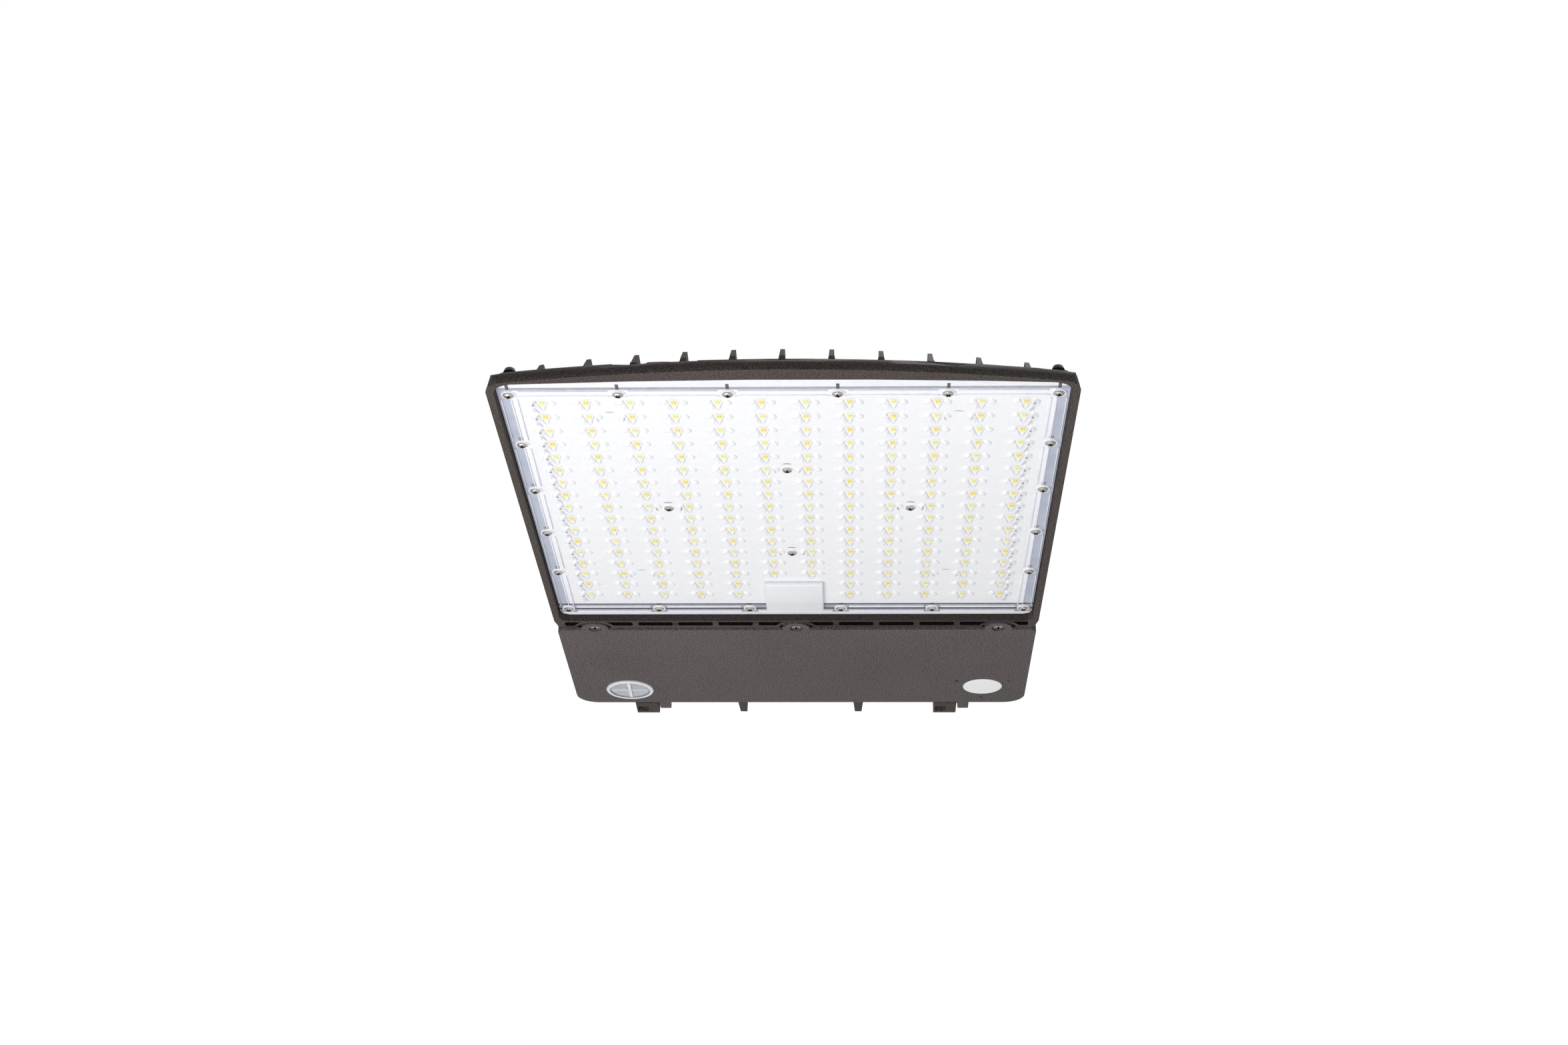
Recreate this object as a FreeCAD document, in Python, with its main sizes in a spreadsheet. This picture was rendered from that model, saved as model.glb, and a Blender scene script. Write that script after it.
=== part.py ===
"""Shoebox area light: a finned casting with a lens bay and a hinged driver door.

Millimetres. +Z up, the lamp looks down (-Z). The origin is the centre of the
arm-mounting face on the rear wall; the light reaches forward along -Y.
"""
import FreeCAD, Part
import Sketcher
import math
import os
import re

os.makedirs("parts", exist_ok=True)
doc = FreeCAD.newDocument("AreaLight")
sheet = doc.addObject("Spreadsheet::Sheet", "Sizes")
Vector = FreeCAD.Vector

# ------------------------------------------------------------------ sizes
SIZES = [
    # casting
    ("body_width", 386.0, "across the rim"),
    ("front_reach", 602.0, "mounting face to the front lip"),
    ("lip_drop", 34.0, "mount centre down to the rim face"),
    ("box_rise", 34.0, "mount centre up to the driver box top"),
    ("front_bow_radius", 1008.0, "plan curve of the front edge"),
    ("corner_radius", 14.0, "front corners in plan"),
    ("tray_depth", 17.2, "rim face to the tray top"),
    ("floor_thickness", 3.0, "tray floor"),
    ("rim_width", 4.9, "side rim of the lens bay"),
    ("front_rim_width", 13.4, "lip at the middle of the front"),
    ("bay_bow_radius", 3000.0, "plan curve of the bay's front wall"),
    ("bay_rear", 189.2, "mounting face to the bay's rear wall"),
    ("bay_rear_wall", 2.5, "wall between the bay and the slots"),
    ("nose_setback", 25.0, "how far the nose leans back"),
    ("nose_radius", 13.0, "lower curve of the nose"),
    ("side_edge_radius", 8.0, "top side edges of the tray"),
    ("lug_inset", 2.0, "step in at the tray's rear corners"),
    # cooling slots and fins
    ("slot_width", 7.0, "air slots between bay and driver box"),
    ("slot_web", 4.6, "webs between slots"),
    ("slot_end_width", 11.6, "outermost slot"),
    ("slot_end_margin", 8.0, "rim edge to the outermost slot"),
    ("beam_bar", 3.7, "bar behind the slots"),
    ("fin_pitch", 32.1, "fin spacing"),
    ("fin_count", 11, "fins across the top"),
    ("fin_root", 5.2, "fin thickness at the tray"),
    ("fin_tip", 2.2, "fin thickness at the top"),
    ("fin_flare", 3.5, "flare at the foot of a fin"),
    ("fin_start", 14.0, "lip to the foot of a fin"),
    ("fin_peak_setback", 31.0, "lip to the fin's front shoulder"),
    ("fin_peak_height", 15.2, "fin height at the shoulder"),
    ("fin_rear_height", 31.0, "fin height at the driver box"),
    ("fin_bow_radius", 700.0, "plan curve of the fin fronts"),
    # driver box
    ("box_width", 385.0, "across the driver box and its door"),
    ("box_wall", 3.0, "driver box walls"),
    ("box_corner_radius", 18.0, "rear corners in plan"),
    ("box_edge_radius", 6.0, "top edges of the box"),
    ("pad_height", 6.8, "mounting pad above the rear wall"),
    ("pad_width", 84.0, "mounting pad"),
    ("pad_tall", 44.0, "mounting pad"),
    ("bolt_spacing_x", 60.0, "arm bolts"),
    ("bolt_spacing_z", 28.0, "arm bolts"),
    ("bolt_hole", 8.0, "arm bolt thread"),
    ("bolt_boss_length", 10.0, "thick place behind the pad"),
    ("wire_hole", 22.0, "supply wire hole in the pad"),
    ("wire_way", 12.0, "grommet bore for the supply wires"),
    ("rib_spacing", 100.0, "pair of ribs beside the pad"),
    ("rib_root", 8.4, "rib thickness at the wall"),
    ("rib_tip", 5.8, "rib thickness at its end"),
    ("rib_reach", 18.3, "ribs and hinge blocks behind the pad face"),
    # lens bay contents
    ("led_pitch_x", 29.0, "LED columns"),
    ("led_pitch_y", 19.8, "LED rows"),
    ("grid_setback", 376.0, "mounting face to the LED grid centre"),
    ("board_width", 336.0, "LED board"),
    ("board_margin", 6.5, "last LED row to the board edge"),
    ("board_thickness", 1.5, "LED board"),
    ("led_size", 3.0, "LED package"),
    ("led_height", 0.7, "LED package"),
    ("lens_recess", 5.5, "rim face to the lens flange"),
    ("lens_thickness", 3.0, "lens plate"),
    ("lens_gap", 0.8, "lens edge to the bay wall"),
    ("optic_width", 22.0, "one optic across the row"),
    ("optic_length", 17.0, "one optic along the column"),
    ("optic_height", 3.6, "optic above the plate"),
    ("optic_slope", 28.0, "draft of an optic's sides in degrees"),
    ("cover_width", 45.4, "frosted cover over the connector"),
    ("cover_length", 51.0, "frosted cover over the connector"),
    ("cover_height", 3.8, "frosted cover above the plate"),
    ("cover_rear", 204.0, "mounting face to the cover's rear edge"),
    ("cover_wall", 1.5, "frosted cover over the connector"),
    ("connector_width", 16.0, "connector on the board"),
    ("connector_length", 18.0, "connector on the board"),
    ("connector_height", 4.0, "connector on the board"),
    ("connector_setback", 222.0, "mounting face to the connector"),
    ("notch_width", 16.0, "board notch for the cable"),
    ("gasket_width", 3.0, "lens gasket"),
    ("gasket_height", 1.5, "lens gasket"),
    ("gasket_inset", 2.4, "lens screw line to the gasket"),
    ("lens_screw_x", 180.0, "side line of lens screws"),
    ("lens_screw_front", 560.0, "front line of lens screws"),
    ("lens_screw_rear", 203.0, "rear line of lens screws"),
    ("lens_screw_shank", 4.0, "M4"),
    ("lens_screw_head", 7.6, "M4 pan head"),
    ("lens_screw_head_height", 2.4, "M4 pan head"),
    ("lens_screw_bite", 6.5, "thread in the casting"),
    ("screw_clearance", 0.3, "hole wall to screw shank"),
    ("screw_tip_gap", 0.8, "screw tip to the bottom of its hole"),
    ("thread_play", 0.05, "thread to screw shank"),
    ("board_screw_x", 116.0, "four board screws"),
    ("board_screw_front", 514.6, "four board screws"),
    ("board_screw_rear", 257.2, "four board screws"),
    ("board_screw_shank", 3.0, "M3"),
    ("board_screw_head", 5.6, "M3 pan head"),
    ("board_screw_head_height", 2.0, "M3 pan head"),
    ("board_screw_bite", 4.5, "thread in the casting's floor, ceiling and wall"),
    ("screw_boss", 9.0, "thread bosses on the tray top"),
    ("screw_boss_height", 3.6, "thread bosses on the tray top"),
    ("lens_post", 12.0, "lens posts at the centre screws"),
    ("lens_post_pocket", 9.2, "pocket round a centre screw head"),
    ("lens_post_floor", 2.7, "post material under the head"),
    # cable duct
    ("duct_width", 21.0, "hump over the slots"),
    ("duct_height", 14.4, "hump above the tray top"),
    ("duct_bore", 10.0, "cable way"),
    ("duct_drop", 214.0, "mounting face to the hole in the tray floor"),
    ("duct_front", 224.0, "mounting face to the hump's front"),
    ("cable_width", 4.0, "cables inside the light"),
    ("gland_length", 6.0, "rubber gland in the duct"),
    ("gland_play", 0.4, "gland to the cable"),
    # door
    ("door_gap", 5.8, "beam to the door's front edge"),
    ("door_plate", 2.5, "door skin"),
    ("door_depth", 10.0, "door skin to the top of its wall"),
    ("door_wall", 2.5, "sealing wall of the door"),
    ("door_wall_setback", 4.2, "front edge to the sealing wall"),
    ("door_chamfer", 4.0, "front corners of the door"),
    ("door_seal", 1.0, "door gasket"),
    ("door_screw_x", 162.0, "outer door screws"),
    ("door_screw_setback", 172.1, "mounting face to the door screws"),
    ("door_bump", 11.0, "radius of the door round a screw"),
    ("door_bump_height", 6.0, "door round a screw"),
    ("retainer_width", 9.0, "washer that holds a door screw"),
    ("retainer_thickness", 1.0, "washer that holds a door screw"),
    ("swing_gap", 2.1, "door edge to blocks and ribs as it swings"),
    ("arch_gap", 3.4, "door bump to the beam arch"),
    ("arch_wall", 3.0, "arch of the beam"),
    ("door_screw_shank", 5.0, "M5"),
    ("door_screw_head", 8.8, "M5 head"),
    ("door_screw_head_height", 2.6, "M5 head"),
    ("door_screw_recess", 3.2, "counterbore depth"),
    ("door_screw_recess_width", 10.6, "counterbore"),
    ("door_screw_bite", 6.0, "screw reach into the casting"),
    ("door_thread_clearance", 0.7, "room round the screw as the door swings"),
    ("thread_boss", 10.0, "bosses for the door screws"),
    ("thread_boss_height", 7.5, "bosses for the door screws"),
    ("seal_flange", 15.0, "flange behind the beam over the door's front"),
    # hinges
    ("hinge_setback", 6.0, "mounting face back to the pin"),
    ("eye_radius", 6.5, "door eye"),
    ("pin_diameter", 5.0, "hinge pin"),
    ("pin_clearance", 0.05, "running fit of the pin"),
    ("hinge_pitch", 259.0, "hinge to hinge"),
    ("hinge_offset", -4.25, "middle of the two blocks"),
    ("block_width", 19.5, "hinge block"),
    ("block_tall", 15.0, "hinge block"),
    ("window_width", 9.0, "opening in the block"),
    ("window_length", 11.5, "opening in the block"),
    ("window_margin", 3.4, "opening to the block's rear end"),
    ("block_side_wall", 1.3, "block wall beside the opening"),
    ("tab_width", 9.0, "door tab"),
    ("tab_offset", 15.75, "block centre to tab centre"),
    ("tab_thickness", 5.0, "door tab"),
    ("pin_stub", 3.0, "pin end in the opening"),
    # selector cap
    ("cap_x", -145.3, "selector cap"),
    ("cap_setback", 39.0, "mounting face to the cap"),
    ("cap_width", 40.2, "cap flange"),
    ("cap_flange", 1.6, "cap flange"),
    ("cap_neck", 33.4, "cap neck"),
    ("cap_neck_length", 7.0, "cap neck"),
    ("cap_cup", 29.6, "hollow of the cap"),
    ("cap_cup_depth", 6.0, "hollow of the cap"),
    ("cap_ring", 33.2, "recess inside the cap's ring"),
    ("cap_recess", 1.2, "recess inside the cap's ring"),
    ("turning_play", 0.1, "cap and plug to the door"),
    ("cap_grip", 2.4, "cross grip"),
    ("cap_clearance", 0.3, "neck to collar"),
    ("seal_section", 1.0, "cap and plug seals"),
    ("collar_wall", 3.0, "collars inside the door"),
    ("collar_height", 5.5, "collars above the door skin"),
    # sensor port
    ("plug_x", 155.5, "sensor port"),
    ("plug_setback", 44.6, "mounting face to the sensor port"),
    ("plug_width", 33.1, "plug disc"),
    ("plug_disc", 1.5, "plug disc"),
    ("plug_stand", 0.5, "plug above the door face"),
    ("plug_neck", 29.4, "plug neck"),
    ("plug_neck_length", 6.0, "plug neck"),
    ("plug_clearance", 0.3, "plug to the door"),
    ("plug_pull", 12.0, "straight pull that frees the plug"),
    ("sensor_pitch_circle", 51.0, "three sensor screws"),
    ("sensor_hole", 3.4, "sensor screw holes"),
    ("sensor_hole_depth", 6.0, "sensor screw holes"),
    ("sensor_boss", 8.4, "bosses of the sensor screw holes"),
    # driver compartment
    ("driver_length", 236.0, "LED driver"),
    ("driver_width", 66.0, "LED driver"),
    ("driver_height", 38.0, "LED driver"),
    ("driver_x", -32.0, "driver centre"),
    ("driver_setback", 127.0, "mounting face to the driver centre"),
    ("driver_cap", 5.0, "driver end caps"),
    ("standoff", 5.0, "bosses under the ceiling and on the rear wall"),
    ("ear_reach", 12.0, "mounting ears"),
    ("ear_width", 16.0, "mounting ears"),
    ("ear_thickness", 3.0, "mounting ears"),
    ("surge_length", 64.0, "surge protector"),
    ("surge_width", 38.0, "surge protector"),
    ("surge_height", 26.0, "surge protector"),
    ("surge_x", 142.0, "surge protector"),
    ("surge_setback", 104.0, "surge protector"),
    ("terminal_length", 40.0, "terminal block"),
    ("terminal_width", 20.0, "terminal block"),
    ("terminal_height", 18.0, "terminal block"),
    ("terminal_x", 78.0, "terminal block"),
    ("terminal_setback", 40.0, "terminal block"),
    ("ground_x", 36.0, "ground screw"),
    ("ground_setback", 46.0, "ground screw"),
    # selector switch behind the cap
    ("switch_length", 30.0, "selector switch"),
    ("switch_width", 24.0, "selector switch"),
    ("switch_height", 14.0, "selector switch"),
    ("switch_floor", 25.0, "mount centre down to the switch face"),
    ("bracket_thickness", 1.6, "selector bracket"),
    ("bracket_tall", 22.0, "selector bracket"),
    ("bracket_screw_pitch", 18.0, "selector bracket screws"),
    ("slider_clearance", 0.2, "slider to its slot"),
    ("slider_stem", 4.0, "slider inside the switch"),
    ("slider_width", 3.0, "slider knob"),
    ("slider_length", 4.4, "slider knob"),
    ("slider_height", 1.5, "slider knob"),
    ("slider_gap", 9.0, "between the two sliders"),
    ("slider_travel", 2.5, "each way from the middle position"),
    # corner plugs
    ("corner_plug_x", 180.0, "rubber plugs at the front corners"),
    ("corner_plug_setback", 560.5, "rubber plugs at the front corners"),
    ("corner_plug_width", 8.0, "rubber plugs at the front corners"),
    ("corner_plug_top", 8.0, "mount centre down to the plug top"),
    ("corner_plug_height", 3.0, "rubber plugs at the front corners"),
    ("corner_boss", 12.0, "bosses under the corner plugs"),
]

for row, (alias, value, note) in enumerate(SIZES, start=1):
    sheet.set(f"A{row}", alias)
    sheet.set(f"B{row}", str(value))
    sheet.set(f"C{row}", note)
    sheet.setAlias(f"B{row}", alias)
doc.recompute()
ALIASES = {alias for alias, value, note in SIZES}


def linked(text):
    """The same formula with every size name pointing at the sheet."""
    return re.sub(r"[a-z][a-z_]*", lambda m: "Sizes." + m[0] if m[0] in ALIASES else m[0], str(text))


def size(text):
    """The number that a formula of size names comes to."""
    value = sheet.evalExpression(linked(text))
    return float(getattr(value, "Value", value))


def bind(thing, prop, text):
    """Tie a property to a formula of size names."""
    thing.setExpression(prop, linked(text))


# ------------------------------------------------------------------ levels
# Heights that several pieces share, as formulas of the sizes above.
RIM = "(-lip_drop)"
TRAY_TOP = "(-lip_drop + tray_depth)"
FLOOR = "(-lip_drop + tray_depth - floor_thickness)"
BOARD = f"({FLOOR} - board_thickness)"
LENS_OUT = "(-lip_drop + lens_recess)"
LENS_IN = f"({LENS_OUT} + lens_thickness)"
BOX_TOP = "(box_rise)"
CEILING = "(box_rise - box_wall)"
DOOR_TOP = "(-lip_drop + door_depth)"
SEAM = f"({DOOR_TOP} + door_seal)"
REAR_WALL = "(-pad_height)"
SLOT_FRONT = "(-bay_rear + bay_rear_wall)"
SLOT_REAR = f"({SLOT_FRONT} + slot_width)"
BEAM_REAR = f"({SLOT_REAR} + beam_bar)"
DOOR_FRONT = f"({BEAM_REAR} + door_gap)"
SEAL_FRONT = f"({DOOR_FRONT} + door_wall_setback)"
PIN_Z = "(-lip_drop + eye_radius)"
DUCT = f"({TRAY_TOP} + duct_height / 2)"
ARCH = "(door_bump + arch_gap)"
DOOR_SCREWS = ["-door_screw_x", "0", "door_screw_x"]
HINGES = ["(hinge_offset - hinge_pitch / 2)", "(hinge_offset + hinge_pitch / 2)"]
GRID_FRONT = "(-grid_setback - 8 * led_pitch_y)"
GRID_REAR = "(-grid_setback + 8 * led_pitch_y)"
BOARD_SCREWS = [
    (side + "board_screw_x", "-" + row) for side in ("-", "") for row in ("board_screw_front", "board_screw_rear")
]
CENTRE_SCREWS = [
    ("0", "-grid_setback - 3.65 * led_pitch_y"),
    ("-3 * led_pitch_x", "-grid_setback - 0.55 * led_pitch_y"),
    ("3 * led_pitch_x", "-grid_setback - 0.55 * led_pitch_y"),
    ("0", "-grid_setback + 3.4 * led_pitch_y"),
]


SEATS = f"({CEILING} - standoff)"
DRIVER_LOW = f"({SEATS} - driver_height)"
DRIVER_END = "(driver_length / 2 + driver_cap)"
DRIVER_SCREWS = [("driver_x - driver_length / 2 - driver_cap - ear_reach / 2", "-driver_setback"),
                 ("driver_x + driver_length / 2 + driver_cap + ear_reach / 2", "-driver_setback")]
SURGE_SCREWS = [("surge_x - surge_length / 2 - ear_reach / 2", "-surge_setback"),
                ("surge_x + surge_length / 2 + ear_reach / 2", "-surge_setback")]
DEVICE_SCREWS = DRIVER_SCREWS + SURGE_SCREWS + [("terminal_x", "-terminal_setback")]
CEILING_SCREWS = DEVICE_SCREWS + [("ground_x", "-ground_setback")]
SWITCH_TOP = "(-switch_floor + switch_height)"
BRACKET_SCREWS = [(f"cap_x {side} bracket_screw_pitch / 2", f"{SWITCH_TOP} + bracket_tall * 0.6")
                  for side in ("-", "+")]
BRACKET_FACE = f"({REAR_WALL} - box_wall - standoff - bracket_thickness)"


def lens_screw_places():
    """Six screws along the front and the rear, four more down each side."""
    places = []
    for step in range(6):
        across = f"lens_screw_x * {(2 * step - 5) / 5}"
        places.append((across, "-lens_screw_front"))
        places.append((across, "-lens_screw_rear"))
    for step in range(1, 5):
        along = f"-lens_screw_front + (lens_screw_front - lens_screw_rear) * {step / 5}"
        places.append(("-lens_screw_x", along))
        places.append(("lens_screw_x", along))
    return places


# ------------------------------------------------------------------ modelling
nodes = []


def new_body(label, keep=True):
    """A PartDesign body; kept ones are the light's own pieces."""
    body = doc.addObject("PartDesign::Body", label)
    body.Label = label
    if keep:
        nodes.append(body)
    return body


def origin_plane(body, role):
    for feature in body.Origin.OriginFeatures:
        if feature.Role == role:
            return feature


def pin_point(sketch, edge, corner, point, label):
    """Hold one point of a sketch at a pair of formulas."""
    for kind, text in (("DistanceX", point[0]), ("DistanceY", point[1])):
        index = sketch.addConstraint(Sketcher.Constraint(kind, -1, 1, edge, corner, size(text)))
        sketch.renameConstraint(index, f"{label}{kind}")
        bind(sketch, f"Constraints.{label}{kind}", text)


def pin_radius(sketch, edge, text, label):
    index = sketch.addConstraint(Sketcher.Constraint("Radius", edge, size(text)))
    sketch.renameConstraint(index, f"{label}Radius")
    bind(sketch, f"Constraints.{label}Radius", text)


def draw_ring(sketch, x, y, radius):
    """A circle from its centre and radius."""
    centre = Vector(size(x), size(y), 0)
    edge = sketch.addGeometry(Part.Circle(centre, Vector(0, 0, 1), size(radius)))
    pin_point(sketch, edge, 3, (x, y), f"c{edge}")
    pin_radius(sketch, edge, radius, f"c{edge}")


def eight_sided(x, y, radius):
    """A small screw's outline: eight flats keep the many screws light."""
    near = f"({radius}) * {math.tan(math.pi / 8)}"
    return [(f"{x} - {near}", f"{y} - ({radius})"), (f"{x} + {near}", f"{y} - ({radius})"),
            (f"{x} + {radius}", f"{y} - {near}"), (f"{x} + {radius}", f"{y} + {near}"),
            (f"{x} + {near}", f"{y} + {radius}"), (f"{x} - {near}", f"{y} + {radius}"),
            (f"{x} - ({radius})", f"{y} + {near}"), (f"{x} - ({radius})", f"{y} - {near}")]


def draw_outline(sketch, points):
    """A closed outline. A third value makes the edge that follows an arc:
    its radius, positive where the arc bulges out of a counter-clockwise path."""
    first = sketch.GeometryCount
    spots = [Vector(size(p[0]), size(p[1]), 0) for p in points]
    starts = []
    ends = []
    for index, point in enumerate(points):
        a = spots[index]
        b = spots[(index + 1) % len(points)]
        if len(point) == 2:
            sketch.addGeometry(Part.LineSegment(a, b))
            starts.append(1)
            ends.append(2)
            continue
        radius = size(point[2])
        chord = b - a
        reach = math.sqrt(max(radius ** 2 - chord.Length ** 2 / 4, 0.0))
        left = Vector(-chord.y, chord.x, 0).normalize()
        centre = (a + b) * 0.5 + left * (reach if radius > 0 else -reach)
        turn = [math.atan2(spot.y - centre.y, spot.x - centre.x) for spot in (a, b)]
        if radius < 0:
            turn.reverse()
        if turn[1] < turn[0]:
            turn[1] += 2 * math.pi
        circle = Part.Circle(centre, Vector(0, 0, 1), abs(radius))
        sketch.addGeometry(Part.ArcOfCircle(circle, turn[0], turn[1]))
        starts.append(1 if radius > 0 else 2)
        ends.append(2 if radius > 0 else 1)
    count = len(points)
    for index, point in enumerate(points):
        after = (index + 1) % count
        sketch.addConstraint(
            Sketcher.Constraint("Coincident", first + index, ends[index], first + after, starts[after]))
        pin_point(sketch, first + index, starts[index], point, f"p{first + index}")
        if len(point) == 3:
            pin_radius(sketch, first + index, f"abs({point[2]})", f"p{first + index}")


def draw(body, role, shapes, offset="0", shift="0"):
    """A sketch on an origin plane, moved along the plane's normal and its x axis."""
    sketch = body.newObject("Sketcher::SketchObject", "Sketch")
    sketch.AttachmentSupport = (origin_plane(body, role), [""])
    sketch.MapMode = "FlatFace"
    bind(sketch, "AttachmentOffset.Base.z", offset)
    bind(sketch, "AttachmentOffset.Base.x", shift)
    for shape in shapes:
        if shape[0] == "ring":
            draw_ring(sketch, *shape[1:])
        else:
            draw_outline(sketch, shape)
    return sketch


def pad(body, role, shapes, start, length, draft=None):
    """Add material from start, length along the plane's normal."""
    feature = body.newObject("PartDesign::Pad", "Pad")
    feature.Refine = False
    feature.Profile = draw(body, role, shapes, start)
    bind(feature, "Length", length)
    if draft:
        bind(feature, "TaperAngle", f"-({draft})")
    return feature


def cut(body, role, shapes, start, length):
    """Remove material from start, length along the plane's normal."""
    feature = body.newObject("PartDesign::Pocket", "Pocket")
    feature.Refine = False
    feature.Profile = draw(body, role, shapes, start)
    feature.Reversed = True
    bind(feature, "Length", length)
    return feature


def turn(body, role, shapes, offset="0", shift="0", removing=False):
    """Revolve a half section about the sketch's upright axis."""
    feature = body.newObject("PartDesign::Groove" if removing else "PartDesign::Revolution", "Turned")
    feature.Refine = False
    sketch = draw(body, role, shapes, offset, shift)
    feature.Profile = sketch
    feature.ReferenceAxis = (sketch, ["V_Axis"])
    feature.Angle = 360
    return feature


def box(x_low, x_high, y_low, y_high):
    """A rectangle in a sketch."""
    return [(x_low, y_low), (x_high, y_low), (x_high, y_high), (x_low, y_high)]


def centred(x, y, wide, long):
    return box(f"{x} - ({wide}) / 2", f"{x} + ({wide}) / 2", f"{y} - ({long}) / 2", f"{y} + ({long}) / 2")


def rounded(x, y, wide, long, radius):
    """A rectangle with rounded corners about a centre."""
    left, right = f"({x} - ({wide}) / 2)", f"({x} + ({wide}) / 2)"
    low, high = f"({y} - ({long}) / 2)", f"({y} + ({long}) / 2)"
    return [
        (f"{left} + {radius}", low), (f"{right} - {radius}", low, radius),
        (right, f"{low} + {radius}"), (right, f"{high} - {radius}", radius),
        (f"{right} - {radius}", high), (f"{left} + {radius}", high, radius),
        (left, f"{high} - {radius}"), (left, f"{low} + {radius}", radius),
    ]


def bowed_plan(half, front, bow, corner, tail):
    """Plan outline with a bowed front: half width, front reach, bow and corner
    radii, then the points that finish the right rear, mirrored on the left.
    A third value in a tail point rounds the corner that follows it."""
    centre = f"({bow} - ({front}))"
    corner_x = f"({half} - {corner})"
    drop = f"sqrt(({bow} - {corner})^2 - {corner_x}^2)"
    touch_x = f"({corner_x} * {bow} / ({bow} - {corner}))"
    touch_y = f"({centre} - {drop} * {bow} / ({bow} - {corner}))"
    side_y = f"({centre} - {drop})"
    points = [(f"-{touch_x}", touch_y, bow), (touch_x, touch_y, corner), (half, side_y)]
    points += tail
    rounds = [point[2:] for point in tail[:-1]]
    for point, round_off in zip(reversed(tail), [*reversed(rounds), ()]):
        points.append((f"-({point[0]})", point[1], *round_off))
    points.append((f"-({half})", side_y, corner))
    return points


def copies(label, master, places, turned=None):
    """One node made of equal solids: the master linked to each place."""
    link = doc.addObject("App::Link", label + "_copies")
    link.setLink(master)
    link.ElementCount = len(places)
    link.ShowElement = False
    link.PlacementList = [
        FreeCAD.Placement(Vector(*[size(value) for value in place]), turned or FreeCAD.Rotation())
        for place in places
    ]
    group = doc.addObject("Part::Compound", label)
    group.Label = label
    group.Links = [link]
    nodes.append(group)
    return group


def pan_screw(name, shank, head, head_height, length):
    """A screw that points up: head below its seat, shank above it, seat at z = 0."""
    screw = new_body(name, keep=False)
    pad(screw, "XY_Plane", [eight_sided("0", "0", f"{head} / 2")], f"-({head_height})", head_height)
    pad(screw, "XY_Plane", [eight_sided("0", "0", f"{shank} / 2")], f"-({head_height}) / 2",
        f"({length}) + ({head_height}) / 2")
    return screw


# ------------------------------------------------------------------ casting
def slot_spans():
    """Slots between webs; the arches are added back over the wide ones."""
    web = "slot_web / 2"
    end = "(body_width / 2 - slot_end_margin)"
    spans = [("-fin_pitch + " + web, "fin_pitch - " + web)]
    for step in (1, 2, 3):
        near, far = f"{step} * fin_pitch + {web}", f"{step + 1} * fin_pitch - {web}"
        spans += [(near, far), (f"-({far})", f"-({near})")]
    spans += [(f"4 * fin_pitch + {web}", end), (f"-{end}", f"-(4 * fin_pitch + {web})")]
    return spans


def add_tray(body):
    """The lens bay's block, with its bowed nose and rounded side edges."""
    half = "(body_width / 2)"
    inner = f"({half} - lug_inset)"
    pad(body, "XY_Plane", [bowed_plan(
        half, "front_reach", "front_bow_radius", "corner_radius",
        [(half, "-bay_rear"), (inner, SLOT_REAR), (inner, BEAM_REAR)])], RIM, "tray_depth")
    upper = ("(((nose_setback - nose_radius)^2 + tray_depth^2 - nose_radius^2)"
             " / (2 * (tray_depth - nose_radius)))")
    lean = f"(nose_setback - nose_radius) / ({upper} - nose_radius)"
    rise = f"({upper} - tray_depth) / ({upper} - nose_radius)"
    lip = "(-front_bow_radius)"
    turn(body, "YZ_Plane", [[
        (lip, RIM, "-nose_radius"),
        (f"{lip} + nose_setback - {upper} * {lean}", f"{TRAY_TOP} - {upper} + {upper} * {rise}", f"-{upper}"),
        (f"{lip} + nose_setback", TRAY_TOP), (f"{lip} + nose_setback", f"{TRAY_TOP} + 2"),
        (f"{lip} - 5", f"{TRAY_TOP} + 2"), (f"{lip} - 5", RIM)]],
        shift="front_bow_radius - front_reach", removing=True)
    edge = f"{TRAY_TOP} - side_edge_radius"
    cutters = []
    for side in (1, -1):
        path = [(half, edge), (f"{half} + 1", edge), (f"{half} + 1", f"{TRAY_TOP} + 1"),
                (f"{half} - side_edge_radius", f"{TRAY_TOP} + 1"), (f"{half} - side_edge_radius", TRAY_TOP)]
        if side > 0:
            path[-1] += ("-side_edge_radius",)
        else:
            path = [(f"-({x})", z) for x, z in reversed(path)]
            path[-1] += ("-side_edge_radius",)
        cutters.append(path)
    cut(body, "XZ_Plane", cutters, f"-({BEAM_REAR})", "front_reach")


def cut_slots(body):
    """The row of air slots, four to a sketch."""
    slots = [rounded(f"(({low}) + ({high})) / 2", f"({SLOT_FRONT} + slot_width / 2)",
                     f"({high}) - ({low})", "slot_width", "slot_width / 4") for low, high in slot_spans()]
    for first in range(0, len(slots), 3):
        cut(body, "XY_Plane", slots[first:first + 3], RIM, "tray_depth")


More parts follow.
